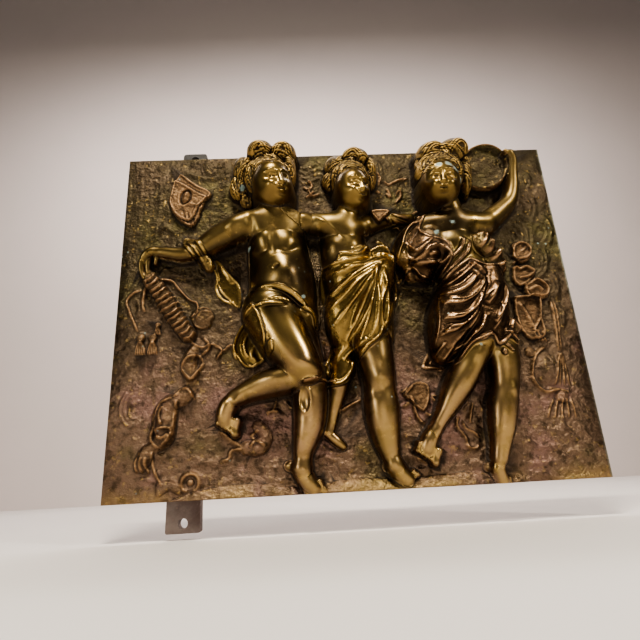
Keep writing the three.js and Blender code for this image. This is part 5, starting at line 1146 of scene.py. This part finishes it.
class Finish:  # a material and short ways to add and join its nodes
    def __init__(self, name):
        self.material = bpy.data.materials.new(name)
        self.material.use_nodes = True
        self.tree = self.material.node_tree
        self.shader = self.tree.nodes["Principled BSDF"]
        self.object = self.add("ShaderNodeTexCoord").outputs["Object"]
        self.place = self.add("ShaderNodeSeparateXYZ")
        self.plug(self.object, self.place.inputs[0])

    def add(self, kind, **settings):
        node = self.tree.nodes.new(kind)
        for name, value in settings.items():
            setattr(node, name, value)
        return node

    def plug(self, value, socket):
        if isinstance(value, bpy.types.NodeSocket):
            self.tree.links.new(value, socket)
        elif hasattr(value, "__len__") and len(value) == 3 and socket.type == "RGBA":
            socket.default_value = (*value, 1)
        else:
            socket.default_value = value

    def give(self, value, name):  # to one of the shader's own inputs
        self.plug(value, self.shader.inputs[name])

    def math(self, operation, a, b=0.0, clamp=False):
        node = self.add("ShaderNodeMath", operation=operation, use_clamp=clamp)
        self.plug(a, node.inputs[0])
        self.plug(b, node.inputs[1])
        return node.outputs[0]

    def times(self, a, b):
        return self.math("MULTIPLY", a, b)

    def plus(self, a, b, clamp=False):
        return self.math("ADD", a, b, clamp)

    def span(self, value, low, high, toLow=0.0, toHigh=1.0):  # a smooth step from low to high
        node = self.add("ShaderNodeMapRange", interpolation_type="SMOOTHSTEP")
        for socket, number in zip(node.inputs, (value, low, high, toLow, toHigh)):
            self.plug(number, socket)
        return node.outputs[0]

    def away(self, u, v):  # how far a place on the plaque is from (u, v)
        across = self.math("SUBTRACT", self.place.outputs["X"], (u - plate["u"]) * mm)
        up = self.math("SUBTRACT", self.place.outputs["Z"], (v - plate["v"]) * mm)
        return self.math("SQRT", self.plus(self.math("POWER", across, 2.0), self.math("POWER", up, 2.0)))

    def mix(self, amount, a, b):
        node = self.add("ShaderNodeMix", data_type="RGBA")
        self.plug(amount, node.inputs["Factor"])
        colours = [socket for socket in node.inputs if socket.type == "RGBA"]
        self.plug(a, colours[0])
        self.plug(b, colours[1])
        return [socket for socket in node.outputs if socket.type == "RGBA"][0]

    def noise(self, scale, detail=3.0, stretch=(1, 1, 1), shift=0.0):
        at = self.add("ShaderNodeMapping")
        self.plug(self.object, at.inputs["Vector"])
        at.inputs["Scale"].default_value = stretch
        at.inputs["Location"].default_value = (shift, shift * 0.7, -shift)
        node = self.add("ShaderNodeTexNoise")
        self.plug(at.outputs[0], node.inputs["Vector"])
        node.inputs["Scale"].default_value = scale
        node.inputs["Detail"].default_value = detail
        node.inputs["Roughness"].default_value = 0.55
        return node.outputs["Fac"]

    def spots(self, scale):
        node = self.add("ShaderNodeTexVoronoi")
        self.plug(self.object, node.inputs["Vector"])
        node.inputs["Scale"].default_value = scale
        return node.outputs["Distance"]

    def read(self, name):
        return self.add("ShaderNodeAttribute", attribute_name=name).outputs["Fac"]

    def bump(self, height, distance, strength=1.0, after=None):
        node = self.add("ShaderNodeBump")
        node.inputs["Strength"].default_value = strength
        node.inputs["Distance"].default_value = distance
        self.plug(height, node.inputs["Height"])
        if after is not None:
            self.plug(after, node.inputs["Normal"])
        return node.outputs[0]


brass = {
    "polishAndHighlight": (0.61, 0.415, 0.145),
    "tarnishAndShade": (0.18, 0.120, 0.038),
    "deepBrown": (0.042, 0.024, 0.010),
    "copper": (0.38, 0.235, 0.125),
    "copperDark": (0.055, 0.032, 0.017),
    "ground": (0.185, 0.122, 0.082),
    "groundHigh": (0.072, 0.055, 0.032),
    "groundDark": (0.036, 0.025, 0.016),
    "rim": (0.30, 0.31, 0.25),
    "olive": (0.105, 0.090, 0.036),
    "rose": (0.26, 0.155, 0.125),
    "patinaAndShade": (0.016, 0.009, 0.005),
    "verdigris": (0.26, 0.36, 0.34),
    "skinRough": 0.21,
    "clothRough": 0.28,
    "groundRough": 0.42,
    # where the skin is painted darker (tarnish on the bodies, painted shade on the three foreheads), and
    # where verdigris sits: u, v, size
    "dark": [(246, 186, 26), (140, 150, 24), (120, 128, 20), (115, 252, 13), (182, 246, 11), (256, 252, 13)],
    "patches": [(242, 228, 2.4), (250, 229, 3.4), (257, 227, 3.4), (262, 223, 2.2), (238, 179, 2.6),
                (250, 185, 2.0), (257, 91, 2.2), (137, 131, 1.6), (93, 227, 2.4), (98, 175, 1.4)],
}


def readMaps(f):  # what the casting says about itself, and the clouds that several colours share
    maps = {name: f.read(name) for name in ("crease", "hollow", "flank", "skin", "cloth", "hair", "trim")}
    maps["mottle"] = f.noise(190, 6, shift=3)
    maps["streak"] = f.noise(150, 6, shift=5)
    maps["high"] = f.plus(f.place.outputs["Z"], f.times(f.noise(26, 4), 0.07))
    return maps


def groundColour(f, maps):  # brown and rose below, darker and greener above, with brighter flecks and a painted highlight along the bottom ledge
    upward = f.span(maps["high"], -0.05, 0.07)
    patch = f.noise(19, 4, shift=8)
    colour = f.mix(upward, brass["ground"], brass["groundHigh"])
    colour = f.mix(f.span(patch, 0.52, 0.66, 0, 0.6), colour, brass["olive"])
    rosy = f.times(f.span(patch, 0.48, 0.36, 0, 1), f.span(upward, 0, 0.6, 0.8, 0.1))
    colour = f.mix(rosy, colour, brass["rose"])
    colour = f.mix(f.times(f.span(maps["streak"], 0.47, 0.66), 0.7), colour, brass["groundDark"])
    # a painted highlight along the bottom ledge
    ledgeHighlight = f.times(f.span(f.place.outputs["Z"], -0.114, -0.128), f.span(patch, 0.42, 0.58))
    colour = f.mix(f.times(ledgeHighlight, 0.35), colour, brass["polishAndHighlight"])
    fleck = f.times(f.span(f.noise(260, 5, shift=12), 0.58, 0.70), f.span(maps["crease"], 0.46, 0.54))
    colour = f.mix(f.times(fleck, 0.6), colour, brass["polishAndHighlight"])
    return f.mix(f.times(f.span(maps["crease"], 0.53, 0.66), 0.6), colour, brass["copper"])


def skinColour(f, maps):  # polish where hands reach; darker on the flanks and towards the heads, partly tarnish and partly painted shade; painted shade on the foreheads and tarnish in patches
    colour = f.mix(f.span(f.noise(11, 2), 0.42, 0.66, 0, 0.35), brass["polishAndHighlight"], brass["tarnishAndShade"])
    colour = f.mix(f.span(f.noise(30, 4, shift=6), 0.50, 0.68, 0, 0.55), colour, brass["copper"])
    # flanks darker: partly wear where hands don't reach, partly painted shade
    colour = f.mix(f.times(f.span(maps["flank"], 0.02, 0.20), 0.55), colour, brass["tarnishAndShade"])
    # darker towards the top: partly tarnish, partly painted shade
    colour = f.mix(f.times(f.span(maps["high"], 0.0, 0.10), 0.62), colour, brass["tarnishAndShade"])
    # darkened patches: tarnish on the bodies, painted shade on the foreheads
    dim = 0.0
    for u, v, size in brass["dark"]:
        dim = f.math("MAXIMUM", dim, f.span(f.away(u, v), size * 0.4 * mm, size * mm, 1, 0))
    colour = f.mix(f.times(dim, 0.88), colour, brass["deepBrown"])
    # steep sides painted deep brown, less so on the heads: painted shade
    steep = f.times(f.span(maps["flank"], 0.08, 0.42), f.span(maps["high"], 0.085, 0.11, 0.8, 0.4))
    return f.mix(steep, colour, brass["deepBrown"])


def clothColour(f, maps):  # bright on its folds, with painted shade on its steep sides; the cloth of the right child is browner
    across = f.plus(f.place.outputs["X"], f.times(maps["mottle"], 0.02))
    third = f.span(across, 0.155, 0.18)
    deep = f.mix(third, brass["tarnishAndShade"], brass["copperDark"])
    bright = f.mix(third, brass["polishAndHighlight"], brass["copper"])
    colour = f.mix(f.span(maps["crease"], 0.48, 0.57), deep, bright)
    # steep sides darkened: painted shade
    colour = f.mix(f.times(f.span(maps["flank"], 0.20, 0.60), 0.6), colour, brass["deepBrown"])
    return f.mix(f.times(f.span(maps["mottle"], 0.48, 0.74), 0.5), colour, brass["deepBrown"])


def verdigris(f, maps):  # a few named patches, and small spots scattered in clouds
    green = f.times(f.span(f.spots(150), 0.07, 0.16, 1, 0), f.span(f.noise(34, 3, shift=11), 0.60, 0.68))
    for u, v, size in brass["patches"]:
        ragged = f.times(f.math("SUBTRACT", maps["mottle"], 0.5), 0.006)
        away = f.plus(f.away(u, v), ragged)
        green = f.math("MAXIMUM", green, f.span(away, size * 0.5 * mm, size * mm, 1, 0))
    return f.times(green, 0.8)


def brassFinish():
    f = Finish("patinatedBrass")
    maps = readMaps(f)
    crease, skin, cloth = maps["crease"], maps["skin"], maps["cloth"]
    locks = f.mix(f.span(crease, 0.47, 0.62), brass["deepBrown"], brass["polishAndHighlight"])
    ends = f.mix(f.span(crease, 0.45, 0.58, 0.1, 0.9), brass["copperDark"], brass["copper"])
    ends = f.mix(f.times(f.span(maps["streak"], 0.45, 0.7), 0.6), ends, brass["groundDark"])
    colour = f.mix(maps["trim"], groundColour(f, maps), ends)
    colour = f.mix(cloth, colour, clothColour(f, maps))
    colour = f.mix(f.times(maps["hair"], 0.95), colour, locks)
    colour = f.mix(skin, colour, skinColour(f, maps))
    # creases and hollows painted dark: painted shade, and the patina that sits in them
    shade = f.times(f.span(crease, 0.34, 0.49, 1, 0), 0.85)
    shade = f.math("MAXIMUM", shade, f.times(f.span(maps["hollow"], 0.10, 0.46, 1, 0), 0.55))
    colour = f.mix(shade, colour, brass["patinaAndShade"])
    # a painted pale highlight along the plate's right edge
    edge = plate["width"] - plate["u"]
    rim = f.span(f.place.outputs["X"], (edge - 1.5) * mm, (edge - 0.6) * mm, 0, 0.6)
    colour = f.mix(rim, colour, brass["rim"])
    green = verdigris(f, maps)
    f.give(f.mix(green, colour, brass["verdigris"]), "Base Color")
    metal = f.math("SUBTRACT", 1.0, f.times(shade, 0.6))
    f.give(f.math("SUBTRACT", metal, f.times(green, 0.9), clamp=True), "Metallic")

    rough = f.mix(cloth, (brass["groundRough"],) * 3, (brass["clothRough"],) * 3)
    rough = f.mix(skin, rough, (brass["skinRough"],) * 3)
    rough = f.plus(rough, f.span(maps["high"], 0.085, 0.10, 0, 0.09))
    covered = f.math("MAXIMUM", f.span(skin, 0.05, 0.5), f.times(cloth, 0.8))
    bare = f.math("SUBTRACT", 1.0, covered)
    rough = f.plus(rough, f.times(f.times(f.math("SUBTRACT", maps["mottle"], 0.5), bare), 0.5))
    rough = f.plus(rough, f.times(green, 0.4))
    f.give(f.plus(rough, f.times(shade, 0.3), clamp=True), "Roughness")

    chased = f.plus(f.noise(330, 5, shift=2), f.times(f.noise(95, 4, (1.0, 1.0, 1.3), shift=4), 1.5))
    first = f.bump(f.times(bare, chased), 0.0016)
    pits = f.span(f.noise(420, 2, shift=9), 0.62, 0.72, 1, 0)
    fine = f.plus(f.times(f.noise(900, 4, shift=7), 0.5), f.times(pits, 0.8))
    fine = f.times(fine, f.math("MAXIMUM", bare, 0.14))
    f.give(f.bump(fine, 0.00016, 0.7, first), "Normal")
    return f.material


iron = {
    "colour": (0.11, 0.075, 0.066),
    "worn": (0.24, 0.18, 0.155),
    "dust": (0.20, 0.16, 0.14),
    "shadedTop": (0.022, 0.018, 0.016),
}


def barFinish():
    f = Finish("darkBar")
    cloud, fine, grain = f.noise(60, 5), f.noise(420, 5, shift=2), f.noise(1500, 3, shift=5)
    colour = f.mix(f.span(cloud, 0.35, 0.7), iron["colour"], iron["dust"])
    colour = f.mix(f.span(fine, 0.55, 0.75), colour, iron["worn"])
    # the strap's upper part painted dark and less metallic: painted shade
    shadedTop = f.span(f.place.outputs["Z"], 0.118, 0.130)
    f.give(f.mix(shadedTop, colour, iron["shadedTop"]), "Base Color")
    f.give(f.math("SUBTRACT", 0.75, f.times(shadedTop, 0.55)), "Metallic")
    f.give(f.span(fine, 0.2, 0.8, 0.42, 0.66), "Roughness")
    f.give(f.bump(grain, 0.0001, 0.7, f.bump(fine, 0.0003, 0.8)), "Normal")
    return f.material


def paleFinish(name, colour):
    f = Finish(name)
    f.give(f.mix(f.span(f.noise(3, 3), 0.3, 0.7), colour, tuple(0.96 * c for c in colour)), "Base Color")
    f.give(0.75, "Roughness")
    return f.material


middle = (plate["width"] / 2 - plate["u"]) * mm  # x of the plaque's middle
stage = {
    "look": "AgX - Medium High Contrast",
    "glow": (1.0, 0.90, 0.84),
    "glowStrength": 0.08,
    "floor": (0.80, 0.76, 0.73),
    "wall": (0.70, 0.62, 0.59),
    "size": (6, 3.0),
    "lights": [
        # name, place, aim, size across, size down, watts, colour
        ("overhead", (0.02, -0.42, 0.72), (middle, 0, 0.0), 0.22, 0.10, 8, (1, 0.93, 0.80)),
        ("window", (-0.80, -0.70, 0.12), (middle, 0, 0.0), 0.16, 0.42, 2.8, (1, 0.95, 0.86)),
        ("spot", (0.62, -0.50, 0.42), (middle, 0, 0.0), 0.08, 0.08, 3.0, (1, 0.93, 0.80)),
        ("roomGlow", (0.10, -1.15, -0.26), (middle, 0, -0.1), 1.1, 0.40, 3.4, (1, 0.90, 0.84)),
        ("wallWash", (0.1, 0.35, 0.9), (middle, 0.9, 0.2), 1.6, 0.3, 12, (1, 0.93, 0.89)),
    ],
}


def makeLight(name, place, aim, across, down, watts, colour):
    lamp = bpy.data.objects.new(name, bpy.data.lights.new(name, "AREA"))
    bpy.context.scene.collection.objects.link(lamp)
    lamp.data.shape = "ELLIPSE"
    lamp.data.size = across
    lamp.data.size_y = down
    lamp.data.energy = watts
    lamp.data.color = colour
    lamp.location = place
    lamp.rotation_mode = "QUATERNION"
    lamp.rotation_quaternion = (Vector(aim) - Vector(place)).to_track_quat("-Z", "Y")


def makeSheet(name, place, turn, material):  # a large flat backdrop
    deselectAll()
    bpy.ops.mesh.primitive_plane_add(size=1, location=(0, 0, 0))
    sheet = bpy.context.object
    sheet.name = name
    sheet.data.transform(Matrix.Translation(place) @ turn @ Matrix.Diagonal((*stage["size"], 1, 1)))
    sheet.data.materials.append(material)
    return sheet


def makeStage():
    bpy.context.scene.view_settings.look = stage["look"]
    world = bpy.data.worlds.new("studio")
    bpy.context.scene.world = world
    world.use_nodes = True
    world.node_tree.nodes["Background"].inputs["Color"].default_value = (*stage["glow"], 1)
    world.node_tree.nodes["Background"].inputs["Strength"].default_value = stage["glowStrength"]
    for light in stage["lights"]:
        makeLight(*light)
    flat = Matrix.Identity(4)
    upright = Matrix(((1, 0, 0, 0), (0, 0, -1, 0), (0, 1, 0, 0), (0, 0, 0, 1)))
    below = (middle, -0.6, cadBox[0].z - 0.004)
    floor = makeSheet("stageFloor", below, flat, paleFinish("paleFloor", stage["floor"]))
    wall = makeSheet("stageWall", (middle, 0.9, 1.3), upright, paleFinish("paleWall", stage["wall"]))
    print("stage made")


makeCamera()
makeStage()
relief = makeCasting()
markZones(relief)
relief.data.materials.append(brassFinish())
choose(relief)
bpy.ops.object.shade_smooth_by_angle(angle=0.9)
smoothFront(relief)
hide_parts("relief_plaque")
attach(relief, "root")
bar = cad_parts["mounting_strap"]
barMaterial = barFinish()
for place in bar.material_slots:
    place.material = barMaterial
print("finishes made")
